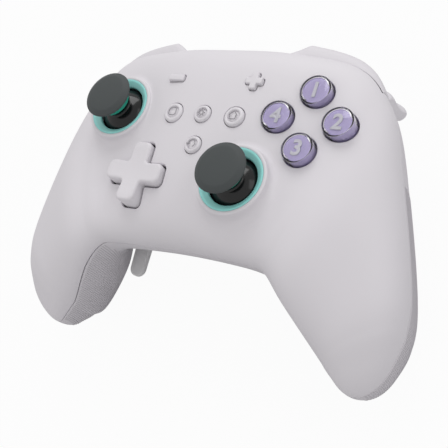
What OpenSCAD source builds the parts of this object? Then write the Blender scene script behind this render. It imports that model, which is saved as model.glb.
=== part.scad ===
// Wireless gamepad: moulded two-part shell, two thumbsticks, cross pad, four clear-topped
// face buttons, six menu buttons, bumpers, triggers, rear paddles and the parts inside.
// Millimetres. X to the player's right, Y towards the bumpers, Z out of the face.

/* [Body] */
// Width across the widest part of the two grips
grip_span = 148; // [136:1:160]
// Top edge of the face above the layout centre, on the centre plane
edge_top = 38.8; // [37:0.2:42]
// Bottom edge of the face below the layout centre, on the centre plane
edge_bottom = 33; // [31:0.5:36]
// How far the grip tips reach below the bottom edge
grip_reach = 29.3; // [24:0.1:36]
// How far the grip tips lie behind the plane of the stick rings
grip_drop = 40.5; // [37:0.5:46]
// Rise of the face above the parting line at the middle
face_rise = 15.2; // [14:0.2:17]
// Depth of the back behind the parting line at its deepest, in the grips
back_depth = 32; // [29:0.5:36]
// Wall thickness of both shells
wall = 2.2; // [1.8:0.1:2.5]
// Width of the line where the two shells meet
seam_gap = 0.2; // [0.1:0.05:0.4]

/* [Sticks] */
// Left stick, distance left of the centre plane
left_stick_x = 36.4; // [35:0.2:38]
// Left stick, height above the layout centre
left_stick_y = 11.2; // [10:0.2:13]
// Right stick, distance right of the centre plane
right_stick_x = 18.7; // [18:0.1:20]
// Right stick, distance below the layout centre
right_stick_y = 11.9; // [11:0.1:13]
// Radius of the coloured ring around a stick
ring_r = 11.2; // [11:0.1:12]
// Radius of the hole in that ring
ring_bore = 8.7; // [8.3:0.1:9.2]
// Radius of the rubber thumb cap
cap_r = 8.8; // [8:0.1:9.2]
// Top of the thumb cap above the ring
cap_top = 9.2; // [8.6:0.1:10.5]
// Depth of the stick's pivot below the ring
pivot_depth = 10; // [9.6:0.1:10.6]
// Radius of the dome that closes the hole below the cap
skirt_r = 11.2; // [10.8:0.1:11.3]

/* [Cross pad] */
// Cross pad, distance left of the centre plane
pad_x = 19.6; // [19:0.1:20.5]
// Cross pad, distance below the layout centre
pad_y = 13; // [12:0.1:14]
// Length of one arm from the middle of the pad
pad_arm = 11.1; // [10.4:0.1:11.6]
// Width of an arm
pad_w = 7.2; // [6.6:0.1:7.6]
// Height of the pad above the face
pad_proud = 3.3; // [2.6:0.1:4]

/* [Face buttons] */
// Middle of the four face buttons, right of the centre plane
cluster_x = 37.3; // [36.8:0.1:38.4]
// Middle of the four face buttons, above the layout centre
cluster_y = 11.9; // [11:0.1:12.6]
// Distance of each face button from their middle
cluster_pitch = 10.4; // [10:0.1:10.8]
// Radius of a face button
button_r = 5.25; // [5:0.05:5.6]
// Height of a face button above the face
button_proud = 3.2; // [2.6:0.1:3.8]
// Sideways slope of the button tops, in degrees
button_slope = 4.8; // [3:0.2:7]

/* [Menu buttons] */
// Minus and plus buttons, distance from the centre plane
sign_x = 15.5; // [14.6:0.1:16]
// Minus and plus buttons, above the layout centre
sign_y = 23.4; // [22.6:0.1:24]
// Length of the minus bar and of the plus
sign_len = 6.2; // [5.4:0.1:6.6]
// Width of the minus bar and of the plus arms
sign_w = 2.3; // [2:0.1:2.6]
// Capture and home buttons, distance from the centre plane
menu_x = 12.1; // [11.8:0.1:12.8]
// Upper row of round menu buttons, above the layout centre
menu_y = 10.1; // [9.6:0.1:11]
// Lowest round menu button, below the layout centre
profile_y = 1.2; // [0.6:0.1:1.6]
// Radius of the capture and home buttons
menu_r = 3.6; // [3.2:0.1:3.8]
// Radius of the settings and profile buttons
small_r = 3.1; // [2.8:0.1:3.4]
// Height of the menu buttons above the face
menu_proud = 1.3; // [1:0.1:1.8]

/* [Shoulders] */
// How far a bumper stands out of the body
bumper_out = 5.2; // [4.4:0.1:5.6]
// How far the rim of the face is cut back for a bumper
bumper_ledge = 1; // [0.8:0.1:1.2]
// Underside of the bumpers behind the ring plane
bumper_floor = 20.5; // [20:0.1:21]
// Width of a trigger
trigger_w = 20; // [19.5:0.5:23]
// Length of a trigger from its top to its lip
trigger_len = 16; // [14:0.5:18]
// Radius of the trigger pin
trigger_pin_r = 1; // [0.8:0.05:1.2]

/* [Paddles] */
// Rear paddles, distance of their middle from the centre plane
paddle_x = 33.2; // [32:0.2:36]
// Length of a paddle from its pin to its tip
paddle_len = 31; // [28:0.5:33]
// Width of a paddle blade
paddle_w = 6.8; // [6:0.1:7.6]
// Thickness of a paddle blade
paddle_t = 2.4; // [2:0.1:2.8]

/* [Inside] */
// Front of the main board behind the ring plane
board_depth = 19; // [18.8:0.1:19.4]
// Thickness of the main board
board_t = 1.6; // [1.2:0.1:1.7]
// Radius of a rumble motor
motor_r = 6.2; // [5.6:0.1:6.6]
// Length of a rumble motor
motor_len = 13; // [11:0.5:14]
// Radius of the weight on a rumble motor
weight_r = 7; // [6:0.1:7.4]

/* [Hidden] */

$fn = 48;
gap = 0.35;             // clearance between parts that move past each other
fit = 0.05;             // running fit of a pin or post in its bore
half = grip_span / 2;
tip_y = -edge_bottom - grip_reach;
flank = edge_top - tip_y;

// Body loft. Each row is a section of the body from the centre plane out to the grip:
// where it starts on the bottom and inner edge and where it ends on the top and outer
// edge, as shares of the driving sizes, then its rise, its depth and its squareness.
// [inner x, inner y, inner z, outer x, outer y, outer z, rise, depth, squareness]
shares = [
    [0.000, 0.00, 0.445, 0.000, 0.000, 0.320, 1.00, 0.44, 4.5],
    [0.203, 0.01, 0.445, 0.297, 0.000, 0.333, 0.94, 0.47, 4.5],
    [0.372, 0.06, 0.383, 0.622, 0.023, 0.383, 0.77, 0.56, 4.2],
    [0.453, 0.13, 0.365, 0.784, 0.136, 0.469, 0.82, 0.70, 3.4],
    [0.547, 0.38, 0.474, 0.885, 0.353, 0.568, 0.95, 1.00, 2.8],
    [0.682, 0.741, 0.798, 1.000, 0.682, 0.806, 1.02, 0.90, 3.1],
    [0.724, 0.845, 0.854, 1.005, 0.857, 0.905, 0.80, 0.675, 3.3]
];
last = len(shares) - 1;
tip = [0.863 * half, tip_y, -grip_drop];
inner_square = 2.5;     // squareness of the face towards the inner edge of a grip
fold_square = 3.2;      // squareness of the face towards the bottom edge between the grips
back_square = 2.3;      // squareness of the back towards the top edge
back_inner = 2.9;       // squareness of the back towards the bottom edge, easing off in the grips
chord_taper = 0.75;     // how far the width has closed where the rounding of a tip begins
depth_taper = 0.41;     // the same for the depth
rise_taper = 0.15;      // the same for the rise
span_steps = 4;         // rows of facets between two sections
tip_steps = 4;          // rows of facets over a grip tip
turn_steps = 12;        // facets across the face, and across the back

function station(i) =
    i < 0 ? mirror_row(station(-i)) :
    i > last ? 2 * station(last) - station(last - 1) :
    let (s = shares[i]) [
        s[0] * half, -edge_bottom - s[1] * grip_reach, -s[2] * grip_drop,
        s[3] * half, edge_top - s[4] * flank, -s[5] * grip_drop,
        s[6] * face_rise, s[7] * back_depth, s[8]
    ];
function mirror_row(r) = [-r[0], r[1], r[2], -r[3], r[4], r[5], r[6], r[7], r[8]];
function blend(a, b, c, d, t) =
    0.5 * (2 * b + (c - a) * t + (2 * a - 5 * b + 4 * c - d) * t * t
        + (3 * b - a - 3 * c + d) * t * t * t);
function row(u) =
    u >= last ? station(last) :
    let (k = floor(u)) blend(station(k - 1), station(k), station(k + 1), station(k + 2), u - k);

// Section at u, drawn in by off: [middle, half chord, rise, depth, squareness].
// Past the last station the sections close on ellipses that carry on its taper to the grip tip.
function closing(s, from) = let (k = from + (1 - from) * s) sqrt(max(0, (1 - k * k) / (1 - from * from)));
function section(u, off = 0) =
    let (
        r = row(min(u, last)),
        a = [r[0], r[1], r[2]],
        b = [r[3], r[4], r[5]],
        mid = (a + b) / 2,
        chord = (b - a) / 2,
        k = 1 - off / norm(chord),
        f = sin(max(0, u - last) * 90),
        reach = tip - mid,
        end = mid + reach * (1 - off / norm(reach))
    ) [
        mid + (end - mid) * f, chord * k * closing(f, chord_taper),
        (r[6] - off) * closing(f, rise_taper), (r[7] - off) * closing(f, depth_taper), r[8]
    ];
function mirrored(p) = [-p[0], p[1], p[2]];
function squareness(side, t, outer, u) =
    let (ease = min(1, max(0, u - 4)), fold = min(1, max(0, u - 2.2)))
    side > 0 ? (t > 0 ? outer : fold_square - (fold_square - inner_square) * fold) :
    t > 0 ? back_square - 0.16 * ease : back_inner - 0.8 * min(1, max(0, u / 2.5 - 1.3)) - 0.04 * ease;
function power(v, n) = sign(v) * pow(abs(v), 2 / n);
function skin(u, turn, side, off) =
    let (
        s = section(abs(u), off),
        n = squareness(side, cos(turn), s[4], abs(u)),
        out = (side > 0 ? s[2] : s[3]) * power(sin(turn), n) + seam_gap / 2,
        p = s[0] + s[1] * power(cos(turn), n) + [0, 0, side * out]
    ) u < 0 ? mirrored(p) : p;

// Height of the face, and of the back, at a point of the plan
function beyond(x, y, u) =
    let (s = section(u), a = s[0] - s[1], h = s[1]) (x - a[0]) * h[1] - (y - a[1]) * h[0];
function find_u(x, y, lo = 0, hi = last, n = 16) =
    n == 0 ? (lo + hi) / 2 :
    let (m = (lo + hi) / 2)
    beyond(x, y, m) > 0 ? find_u(x, y, m, hi, n - 1) : find_u(x, y, lo, m, n - 1);
function skin_z(x, y, side, off = 0) =
    let (
        u = find_u(abs(x), y),
        s = section(u, off),
        h = s[1],
        t = ((abs(x) - s[0][0]) * h[0] + (y - s[0][1]) * h[1]) / (h[0] * h[0] + h[1] * h[1]),
        n = squareness(side, t, s[4], u),
        out = pow(max(0, 1 - pow(abs(t), n)), 1 / n)
    ) s[0][2] + h[2] * t + side * (side > 0 ? s[2] : s[3]) * out;
function face_z(x, y) = skin_z(x, y, 1);
function back_z(x, y) = skin_z(x, y, -1);

// One shell: the outer skin, the same skin drawn in by the wall, and the rim between them
skin_steps = concat(
    [for (k = [tip_steps - 1:-1:1]) -last - k / tip_steps],
    [for (k = [-last * span_steps:last * span_steps]) k / span_steps],
    [for (k = [1:tip_steps - 1]) last + k / tip_steps]
);
module shell_sheet(side) {
    n = len(skin_steps);
    m = turn_steps + 1;
    end = last + 1;
    points = concat(
        [for (off = [0, wall], u = skin_steps, j = [0:turn_steps]) skin(u, 180 * j / turn_steps, side, off)],
        [skin(-end, 90, side, 0), skin(end, 90, side, 0)],
        [skin(-end, 90, side, wall), skin(end, 90, side, wall)]
    );
    inner = n * m;
    poles = 2 * n * m;
    quads = concat(
        [for (i = [0:n - 2], j = [0:turn_steps - 1])
            [i * m + j, (i + 1) * m + j, (i + 1) * m + j + 1, i * m + j + 1]],
        [for (i = [0:n - 2], j = [0:turn_steps - 1])
            [inner + i * m + j, inner + i * m + j + 1, inner + (i + 1) * m + j + 1, inner + (i + 1) * m + j]],
        [for (i = [0:n - 2]) [(i + 1) * m, i * m, inner + i * m, inner + (i + 1) * m]],
        [for (i = [0:n - 2])
            [(i + 1) * m - 1, (i + 2) * m - 1, inner + (i + 2) * m - 1, inner + (i + 1) * m - 1]],
        [[0, poles, poles + 2, inner], [poles, m - 1, inner + m - 1, poles + 2]],
        [[poles + 1, (n - 1) * m, inner + (n - 1) * m, poles + 3]],
        [[n * m - 1, poles + 1, poles + 3, inner + n * m - 1]]
    );
    fans = concat(
        [for (j = [0:turn_steps - 1]) [poles, j, j + 1]],
        [for (j = [0:turn_steps - 1]) [poles + 2, inner + j + 1, inner + j]],
        [for (j = [0:turn_steps - 1]) [(n - 1) * m + j, poles + 1, (n - 1) * m + j + 1]],
        [for (j = [0:turn_steps - 1])
            [inner + (n - 1) * m + j, inner + (n - 1) * m + j + 1, poles + 3]]
    );
    faces = concat(
        [for (q = quads) [q[0], q[1], q[2]]],
        [for (q = quads) [q[0], q[2], q[3]]],
        fans
    );
    polyhedron(points, side > 0 ? faces : [for (f = faces) [f[2], f[1], f[0]]], convexity = 8);
}

// A solid through a row of rings that all have the same number of points
module ring_loft(rings) {
    n = len(rings);
    m = len(rings[0]);
    points = [for (r = rings, p = r) p];
    walls = [for (i = [0:n - 2], j = [0:m - 1])
        [i * m + j, (i + 1) * m + j, (i + 1) * m + (j + 1) % m, i * m + (j + 1) % m]];
    polyhedron(points, concat(
        [for (q = walls) [q[0], q[1], q[2]]],
        [for (q = walls) [q[0], q[2], q[3]]],
        [[for (j = [0:m - 1]) j]],
        [[for (j = [m - 1:-1:0]) (n - 1) * m + j]]
    ), convexity = 6);
}

// Fasteners: a screw boss at the middle below the sticks, two at the top, two in the grips
grip_post = [0.84 * half, tip_y + 19];
post_spots = [[26, edge_top - 11], [-26, edge_top - 11], [0, 11 - edge_bottom],
    grip_post, [-grip_post[0], grip_post[1]]];
post_r = 3.2;
screw_r = 1.4;
head_r = 2.6;
head_h = 1.7;
function post_joint(p) = (face_z(p[0], p[1]) + back_z(p[0], p[1])) / 2 + 1;
function post_top(p) =
    min([for (a = [0:30:330]) face_z(p[0] + post_r * cos(a), p[1] + post_r * sin(a))]) - 0.4;
// Seat of a screw head, below the lowest point of the back within the head's circle
function head_seat(p) =
    max([for (a = [0:45:315]) back_z(p[0] + head_r * cos(a), p[1] + head_r * sin(a))]) + head_h + 0.4;

// The bosses near the middle carry the main board on a step
function boss_step(p) = abs(p[0]) < half / 2 ? -board_depth - board_t - 0.06 : head_seat(p) + 1.5;

module at(p, z = 0) translate([p[0], p[1], z]) children();

/* Sticks */
left_stick = [-left_stick_x, left_stick_y];
right_stick = [right_stick_x, -right_stick_y];
collar_r = ring_r + 1.3;
seat_t = 1.6;
pivot_z = -pivot_depth;
stick_bore = ring_r - 0.8;
shaft_r = 2;
band_z = 3;
band_t = 1.6;
band_r = 0.66 * cap_r;
press = 0.5;

// Raised seat moulded on the face around a stick, flared down to the lowest face beside it
module collar(p) {
    foot = min([for (a = [0:30:330])
        face_z(p[0] + (collar_r + 2.6) * cos(a), p[1] + (collar_r + 2.6) * sin(a))]);
    at(p) rotate_extrude($fn = 72)
        polygon([[skirt_r + 0.7, foot - 1.4], [stick_bore, -seat_t - 1.4], [stick_bore, -seat_t],
            [ring_r + 0.03, -seat_t], [ring_r + 0.03, -0.2], [collar_r - 0.7, 0], [collar_r - 0.2, -0.2], [collar_r, -0.7], [collar_r + 0.3, 0.3 * foot],
            [collar_r + 0.7, 0.55 * foot], [collar_r + 1.5, 0.8 * foot], [collar_r + 3, foot],
            [collar_r + 3, foot - 1.4]]);
}

module stick_ring() {
    color([0.52, 0.77, 0.76])
    rotate_extrude($fn = 72)
        polygon([[ring_bore, -seat_t - 0.7], [ring_bore, -1.5], [ring_bore + 0.3, -1.2], [ring_r - 0.6, 0.1],
            [ring_r, 0], [ring_r, -seat_t], [stick_bore - 0.5, -seat_t],
            [stick_bore - 0.5, -seat_t - 0.7]]);
}

// Rubber cap: flat crown with a bevelled rim, and a socket for the shaft
module stick_cap() {
    low = band_z + band_t;
    color([0.27, 0.29, 0.29])
    rotate_extrude($fn = 72)
        polygon([[shaft_r + fit, low], [band_r, low], [cap_r - 1.2, low + 0.5], [cap_r - 0.3, low + 1.4],
            [cap_r, low + 2.4], [cap_r, low + 2.9], [cap_r - 0.25, low + 3.6], [cap_r - 1.2, cap_top - 0.55],
            [cap_r * 0.6, cap_top - 0.15], [0, cap_top], [0, cap_top - 2], [shaft_r + fit, cap_top - 2]]);
}

module stick_band() {
    color([0.13, 0.42, 0.36])
    translate([0, 0, band_z]) difference() {
        cylinder(r = band_r, h = band_t);
        translate([0, 0, -1]) cylinder(r = shaft_r + fit, h = band_t + 2);
    }
}

// Black dome under the cap, centred on the pivot so that the hole stays closed at any tilt
module stick_skirt() {
    rim = 68;
    root = 24;
    color([0.05, 0.05, 0.055])
    rotate_extrude($fn = 72)
        polygon(concat(
            [[shaft_r + fit, band_z], [band_r * 0.85, band_z], [band_r * 0.72, band_z - 1]],
            [for (a = [root:4:rim]) [skirt_r * sin(a), pivot_z + skirt_r * cos(a)]],
            [for (a = [rim:-4:root]) [(skirt_r - 1) * sin(a), pivot_z + (skirt_r - 1) * cos(a)]],
            [[shaft_r + fit, pivot_z + skirt_r - 1.4]]
        ));
}

pin_r = 1;
trunnion_r = 1.2;
yoke = [10, 8, 5];
module stick_shaft() {
    color([0.75, 0.76, 0.78]) translate([0, 0, pivot_z]) {
        translate([0, 0, 3.2]) cylinder(r = shaft_r, h = cap_top - 2 - press - 0.35 - 3.2 + pivot_depth);
        translate([0, 0, -4.4]) cylinder(r = 1.5, h = 8);
        rotate([90, 0, 0]) cylinder(r = pin_r, h = yoke[1] - 0.4, center = true);
    }
}

module stick_yoke() {
    color([0.2, 0.2, 0.21]) translate([0, 0, pivot_z]) difference() {
        union() {
            cube(yoke, center = true);
            rotate([0, 90, 0]) cylinder(r = trunnion_r, h = 15.4, center = true);
        }
        cube([6.8, 3.8, 20], center = true);
        rotate([90, 0, 0]) cylinder(r = pin_r + fit, h = 20, center = true);
    }
}

// Stick housing on the board: a cup with two bearing ears and two sensor blocks
module stick_module() {
    side = 16.5;
    floor_z = -board_depth;
    top_z = pivot_z - 1;
    color([0.24, 0.24, 0.26]) difference() {
        union() {
            translate([-side / 2, -side / 2, floor_z]) cube([side, side, top_z - floor_z]);
            for (s = [-1, 1]) translate([s * 7.1 - 0.8, -2, top_z - 1]) cube([1.6, 4, 3]);
            translate([-side / 2 - 2.4, -4, floor_z]) cube([2.6, 8, 6]);
            translate([-4, side / 2 - 0.2, floor_z]) cube([8, 2.6, 6]);
        }
        translate([0, 0, floor_z + 1.2]) cylinder(r = 7.3, h = top_z - floor_z);
        translate([0, 0, pivot_z]) rotate([0, 90, 0]) cylinder(r = trunnion_r + fit, h = 40, center = true);
        translate([-6.3, -20, top_z]) cube([12.6, 40, 9]);
    }
}

/* Cross pad */
pad = [-pad_x, -pad_y];
pad_top = face_z(pad[0], pad[1]) + pad_proud;
pad_low = min([for (a = [0:30:330]) face_z(pad[0] + pad_arm * cos(a), pad[1] + pad_arm * sin(a))]) - wall;
pad_flange = pad_low - 1.9;
pad_corner = 2.2;

module cross_2d(arm, w, corner) {
    for (a = [0, 90]) rotate(a) {
        square([2 * (arm - corner), w], center = true);
        square([2 * arm, w - 2 * corner], center = true);
        for (x = [-1, 1], y = [-1, 1])
            translate([x * (arm - corner), y * (w / 2 - corner)]) circle(corner);
    }
}

// The pad: a cross with a shallow dish in its top and a round flange behind the face
module cross_pad() {
    dish = 60;
    color([0.83, 0.82, 0.84]) at(pad) difference() {
        union() {
            translate([0, 0, pad_flange - 0.2]) linear_extrude(pad_top - pad_flange - 0.4)
                cross_2d(pad_arm, pad_w, pad_corner);
            translate([0, 0, pad_top - 0.7]) linear_extrude(0.7)
                cross_2d(pad_arm - 0.5, pad_w - 1, pad_corner - 0.4);
            translate([0, 0, pad_flange - 1.2]) cylinder(r = pad_arm + 0.9, h = 1.2);
        }
        translate([0, 0, pad_top + dish - 0.55]) sphere(dish, $fn = 120);
    }
}

module cross_pad_rocker() {
    color([0.3, 0.3, 0.31]) at(pad, pad_flange - 3) {
        cylinder(r = 5, h = 1);
        translate([0, 0, -1]) cylinder(r = 2, h = 1.5);
    }
}

// Silicone mat with one dome under each arm
module cross_pad_membrane() {
    dome_top = pad_flange - 1.2 - 1.1;
    color([0.75, 0.75, 0.76]) at(pad, -board_depth) {
        cylinder(r = pad_arm + 1.4, h = 1);
        for (a = [0:90:270]) rotate(a) translate([pad_arm - 3, 0, 0])
            cylinder(r1 = 3.2, r2 = 1.9, h = dome_top + board_depth);
    }
}

/* Face buttons */
button_travel = 1.4;
stem_z = 1.6 - board_depth + 5.4;
function button_spot(dx, dy) = [cluster_x + dx * cluster_pitch, cluster_y + dy * cluster_pitch];
function button_top(dx) =
    face_z(cluster_x, cluster_y) + button_proud - dx * cluster_pitch * tan(button_slope);
function button_seat(p) =
    min([for (a = [0:60:300]) face_z(p[0] + button_r * cos(a), p[1] + button_r * sin(a))]) - wall - 0.7;

// Coloured core with its flange behind the face and its stem down to the mat
module button_core(dx, dy) {
    p = button_spot(dx, dy);
    top = button_top(dx);
    seat = button_seat(p);
    color([0.72, 0.68, 0.85]) at(p) {
        translate([0, 0, seat - 0.5]) cylinder(r = button_r - 0.75, h = top - 1.1 - seat + 0.5);
        translate([0, 0, seat - 1]) cylinder(r = button_r + 1.1, h = 1);
        translate([0, 0, stem_z]) cylinder(r = 2, h = seat - stem_z);
    }
}

// Clear cap over the core, with a rounded rim
module button_cap(dx, dy) {
    p = button_spot(dx, dy);
    top = button_top(dx);
    seat = button_seat(p);
    bore = button_r - 0.7;
    round_r = 0.9;
    color([0.86, 0.84, 0.92]) at(p) rotate_extrude()
        polygon(concat(
            [[0, top - 1.05], [0, top]],
            [for (a = [90:-15:0]) [button_r - round_r + round_r * cos(a), top - round_r + round_r * sin(a)]],
            [[button_r, seat], [bore, seat], [bore, top - 1.05]]
        ));
}

module face_membrane() {
    color([0.75, 0.75, 0.76]) translate([0, 0, -board_depth]) {
        at([cluster_x, cluster_y]) cylinder(r = cluster_pitch, h = 1);
        for (d = [[0, 1], [1, 0], [0, -1], [-1, 0]]) at(button_spot(d[0], d[1]))
            cylinder(r1 = 4, r2 = 2.2, h = stem_z + board_depth - button_travel - 0.3);
    }
}

/* Menu buttons */
menu_travel = 0.8;
menu_stem = -board_depth + 5;
menu_spots = [[-sign_x, sign_y], [sign_x, sign_y], [-menu_x, menu_y], [0, menu_y], [menu_x, menu_y],
    [0, -profile_y]];

module minus_2d(c = 0) {
    w = sign_w + 2 * c;
    l = sign_len + 2 * c;
    square([l - w, w], center = true);
    for (s = [-1, 1]) translate([s * (l - w) / 2, 0]) circle(w / 2);
}

module plus_2d(c = 0) {
    minus_2d(c);
    rotate(90) minus_2d(c);
}

// A menu button: its shape through the face, a flange behind it and a stem to the mat
module menu_button(p, r) {
    top = face_z(p[0], p[1]) + menu_proud;
    flange = min([for (a = [0:60:300]) face_z(p[0] + 4.5 * cos(a), p[1] + 4.5 * sin(a))]) - wall - 0.5;
    color([0.84, 0.83, 0.86]) at(p) {
        translate([0, 0, flange - 0.3]) linear_extrude(top - 0.3 - flange + 0.3) children();
        translate([0, 0, top - 0.35]) linear_extrude(0.35) scale(0.93) children();
        translate([0, 0, flange - 0.9]) cylinder(r = r + 0.9, h = 0.9);
        translate([0, 0, menu_stem]) cylinder(r = 1.4, h = flange - menu_stem);
    }
}

module menu_membrane() {
    color([0.75, 0.75, 0.76]) translate([0, 0, -board_depth]) {
        translate([-sign_x - 3.5, menu_y - 4, 0])
            cube([2 * sign_x + 7, sign_y - menu_y + 7.5, 1]);
        translate([-4, -profile_y - 3, 0]) cube([8, menu_y + profile_y, 1]);
        for (p = menu_spots) at(p)
            cylinder(r1 = 2.6, r2 = 1.4, h = menu_stem + board_depth - menu_travel - 0.3);
    }
}

/* Shoulders, drawn on the right and mirrored to the left */
bumper_from = 0.98;
bumper_to = 2.7;
bumper_rows = 14;
function edge_at(u) = let (s = section(u)) s[0] + s[1];
function outward(u) = let (h = section(u)[1]) [h[0], h[1], 0] / norm([h[0], h[1]]);
function on_edge(u, a, z) =
    let (e = edge_at(u), o = outward(u)) [e[0] + o[0] * a, e[1] + o[1] * a, z];
// Height of the face at a distance in from the edge of the body
function ledge_z(u, a) =
    let (s = section(u), t = 1 + a / norm(s[1])) s[0][2] + s[1][2] * t
        + s[2] * pow(max(0, 1 - pow(t, s[4])), 1 / s[4]);

// Section of a bumper: a flat back before the wall of the body, a top below the rim of the face
// and a rounded outer side. It swells out at its inner end and runs out towards the grip.
function bumper_ring(u) =
    let (
        t = (u - bumper_from) / (bumper_to - bumper_from),
        p = bumper_out * min(1, 0.1 + t * 7) * (1 - 0.5 * t - 0.45 * t * t),
        top = ledge_z(u, -bumper_ledge) - 0.6,
        low = -bumper_floor,
        back = -bumper_ledge + gap + 0.1,
        k = min(1, (p - back) / 3.4)
    ) [
        on_edge(u, back, top), on_edge(u, back - 0.05, low),
        on_edge(u, p - 2.4 * k, low), on_edge(u, p - 0.8 * k, low + 1), on_edge(u, p, low + 3.4),
        on_edge(u, p, top - 2.6), on_edge(u, p - 0.4 * k, top - 1.4),
        on_edge(u, p - 1.2 * k, top - 0.6), on_edge(u, p - 2.4 * k, top - 0.2)
    ];

// Straight frame of the trigger and of both hinges: middle of its width on the body's edge
shoulder_u = 1.9;
shoulder = edge_at(shoulder_u);
shoulder_turn = -atan2(outward(shoulder_u)[0], outward(shoulder_u)[1]);
pin_in = 7;
pin_z = -bumper_floor - 4.6;
rock_in = 9.2;
rock_z = -bumper_floor + 2;
rock_r = 1.1;
ear_t = 1.6;
hub_half = 6.3;
ear_in = hub_half + 0.8;
tab_t = 1.4;
tab_z = post_joint(post_spots[0]) + 0.06;
module on_shoulder() translate([shoulder[0], shoulder[1], 0]) rotate(shoulder_turn) children();
module along_x(r, len) rotate([0, 90, 0]) cylinder(r = r, h = len, center = true);

// A bumper with two arms behind it whose stubs turn in the ears of the shoulder frame
module bumper() {
    color([0.83, 0.82, 0.84]) {
        ring_loft([for (k = [0:bumper_rows])
            bumper_ring(bumper_from + (bumper_to - bumper_from) * k / bumper_rows)]);
        on_shoulder() for (s = [-1, 1]) {
            translate([s * (hub_half - 0.8) - 0.8, -rock_in, rock_z - 1.2]) cube([1.6, rock_in + 0.8, 2.4]);
            translate([s * (hub_half - 0.8), -rock_in, rock_z]) along_x(1.4, 1.5);
            translate([s * (ear_in + ear_t / 2 - 0.7), -rock_in, rock_z]) along_x(rock_r, ear_t + 1.4);
        }
    }
}

// Room for a bumper and its travel, cut out of both shells
bumper_drop = 1.4;
arm_room = 3.6;         // the back shell leaves this room for a bumper's arms
module bumper_room(ledge) {
    a = -ledge;
    from = bumper_from - 0.02;
    to = bumper_to + 0.02;
    ring_loft([for (k = [0:bumper_rows]) let (u = from + (to - from) * k / bumper_rows) [
        on_edge(u, a, 8), on_edge(u, a, -bumper_floor - bumper_drop),
        on_edge(u, 9, -bumper_floor - bumper_drop), on_edge(u, 9, 8)
    ]]);
}

// Outline of a trigger seen from its end and its bow in plan. The hub lies between the
// ears of the frame; outside them only the outer wall of the trigger goes on.
trigger_top = -bumper_floor - bumper_drop - 0.4;
wing_in = -3.2;
function trigger_bow(s) =
    let (k = s / 13, e = max(0, abs(s) - trigger_w / 2 + 3))
    -3.4 * k * k - 1.4 * (1 - sqrt(max(0, 1 - e * e / 9.2)));
function trigger_ring(s) =
    let (l = trigger_len, b = trigger_bow(s), wing = abs(s) > hub_half)
    [for (q = [
        [-9.6, -2.8, 0], [-9.2, -4.4, 0], [-6.5, -5.7, 0], [-4.2, -0.46 * l, 0.4],
        [-2, -0.64 * l, 1], [0.6, -0.86 * l, 1], [3.2, -0.99 * l, 1], [4.6, -l, 1],
        [5, -0.95 * l, 1], [3.4, -0.77 * l, 1], [2.7, -0.58 * l, 1], [2.5, -0.42 * l, 1],
        [2.6, -0.24 * l, 1], [2, -0.09 * l, 1], [0.8, -0.01 * l, 1], [-3, 0, 0.5],
        [-7, -0.1, 0], [-8.8, -1, 0]
    ]) [s, wing ? max(q[0] + b, wing_in + 0.05 * q[0] + 0.25 * b) : q[0] + b * q[2], trigger_top + q[1]]];
trigger_h = trigger_w / 2;
wing_from = hub_half + 0.4;
trigger_rows = [-trigger_h, -trigger_h + 0.2, -trigger_h + 0.7, -trigger_h + 1.5, -trigger_h + 3,
    -wing_from, -hub_half, 0, hub_half, wing_from,
    trigger_h - 3, trigger_h - 1.5, trigger_h - 0.7, trigger_h - 0.2, trigger_h];

module trigger() {
    color([0.8, 0.79, 0.82]) on_shoulder() difference() {
        ring_loft([for (s = trigger_rows) trigger_ring(s)]);
        translate([0, -pin_in, pin_z]) along_x(trigger_pin_r + fit, trigger_w + 4);
        translate([0, -pin_in, pin_z]) along_x(3.4, 6);
    }
}

module trigger_pin() {
    color([0.7, 0.71, 0.73]) on_shoulder() translate([0, -pin_in, pin_z])
        along_x(trigger_pin_r, 2 * (ear_in + ear_t));
}

// Torsion spring in the notch of the trigger's hub, drawn as touching turns
module trigger_spring() {
    wire = 0.4;
    turns = 6;
    color([0.78, 0.78, 0.8]) on_shoulder() translate([0, -pin_in, pin_z]) {
        rotate([0, 90, 0]) rotate_extrude() union() {
            translate([trigger_pin_r + 0.35, -wire * turns * 0.8]) square([0.5, 2 * wire * turns * 0.8]);
            for (k = [0:turns - 1]) translate([trigger_pin_r + 0.85, (k - (turns - 1) / 2) * wire * 1.7])
                circle(wire, $fn = 24);
        }
        translate([1.2, 1.6, 0]) rotate([-90, 0, 0]) cylinder(r = wire, h = 1.6, $fn = 24);
    }
}

// Room for a trigger's swing and for the bumper's arms, cut out of the back shell
module trigger_room() {
    w = trigger_w + 1.2;
    hub = 2 * (ear_in + ear_t + 0.6);
    high = 60 - bumper_floor - bumper_drop;
    on_shoulder() {
        translate([-w / 2, -6.8, -60]) cube([w, 30, high]);
        translate([-hub / 2, -10.4, -60]) cube([hub, 30, high]);
        for (s = [-1, 1]) translate([s * (hub_half - 0.8) - 1.3, -8.4, rock_z - 6]) cube([2.6, 8, 6]);
    }
}

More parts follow.
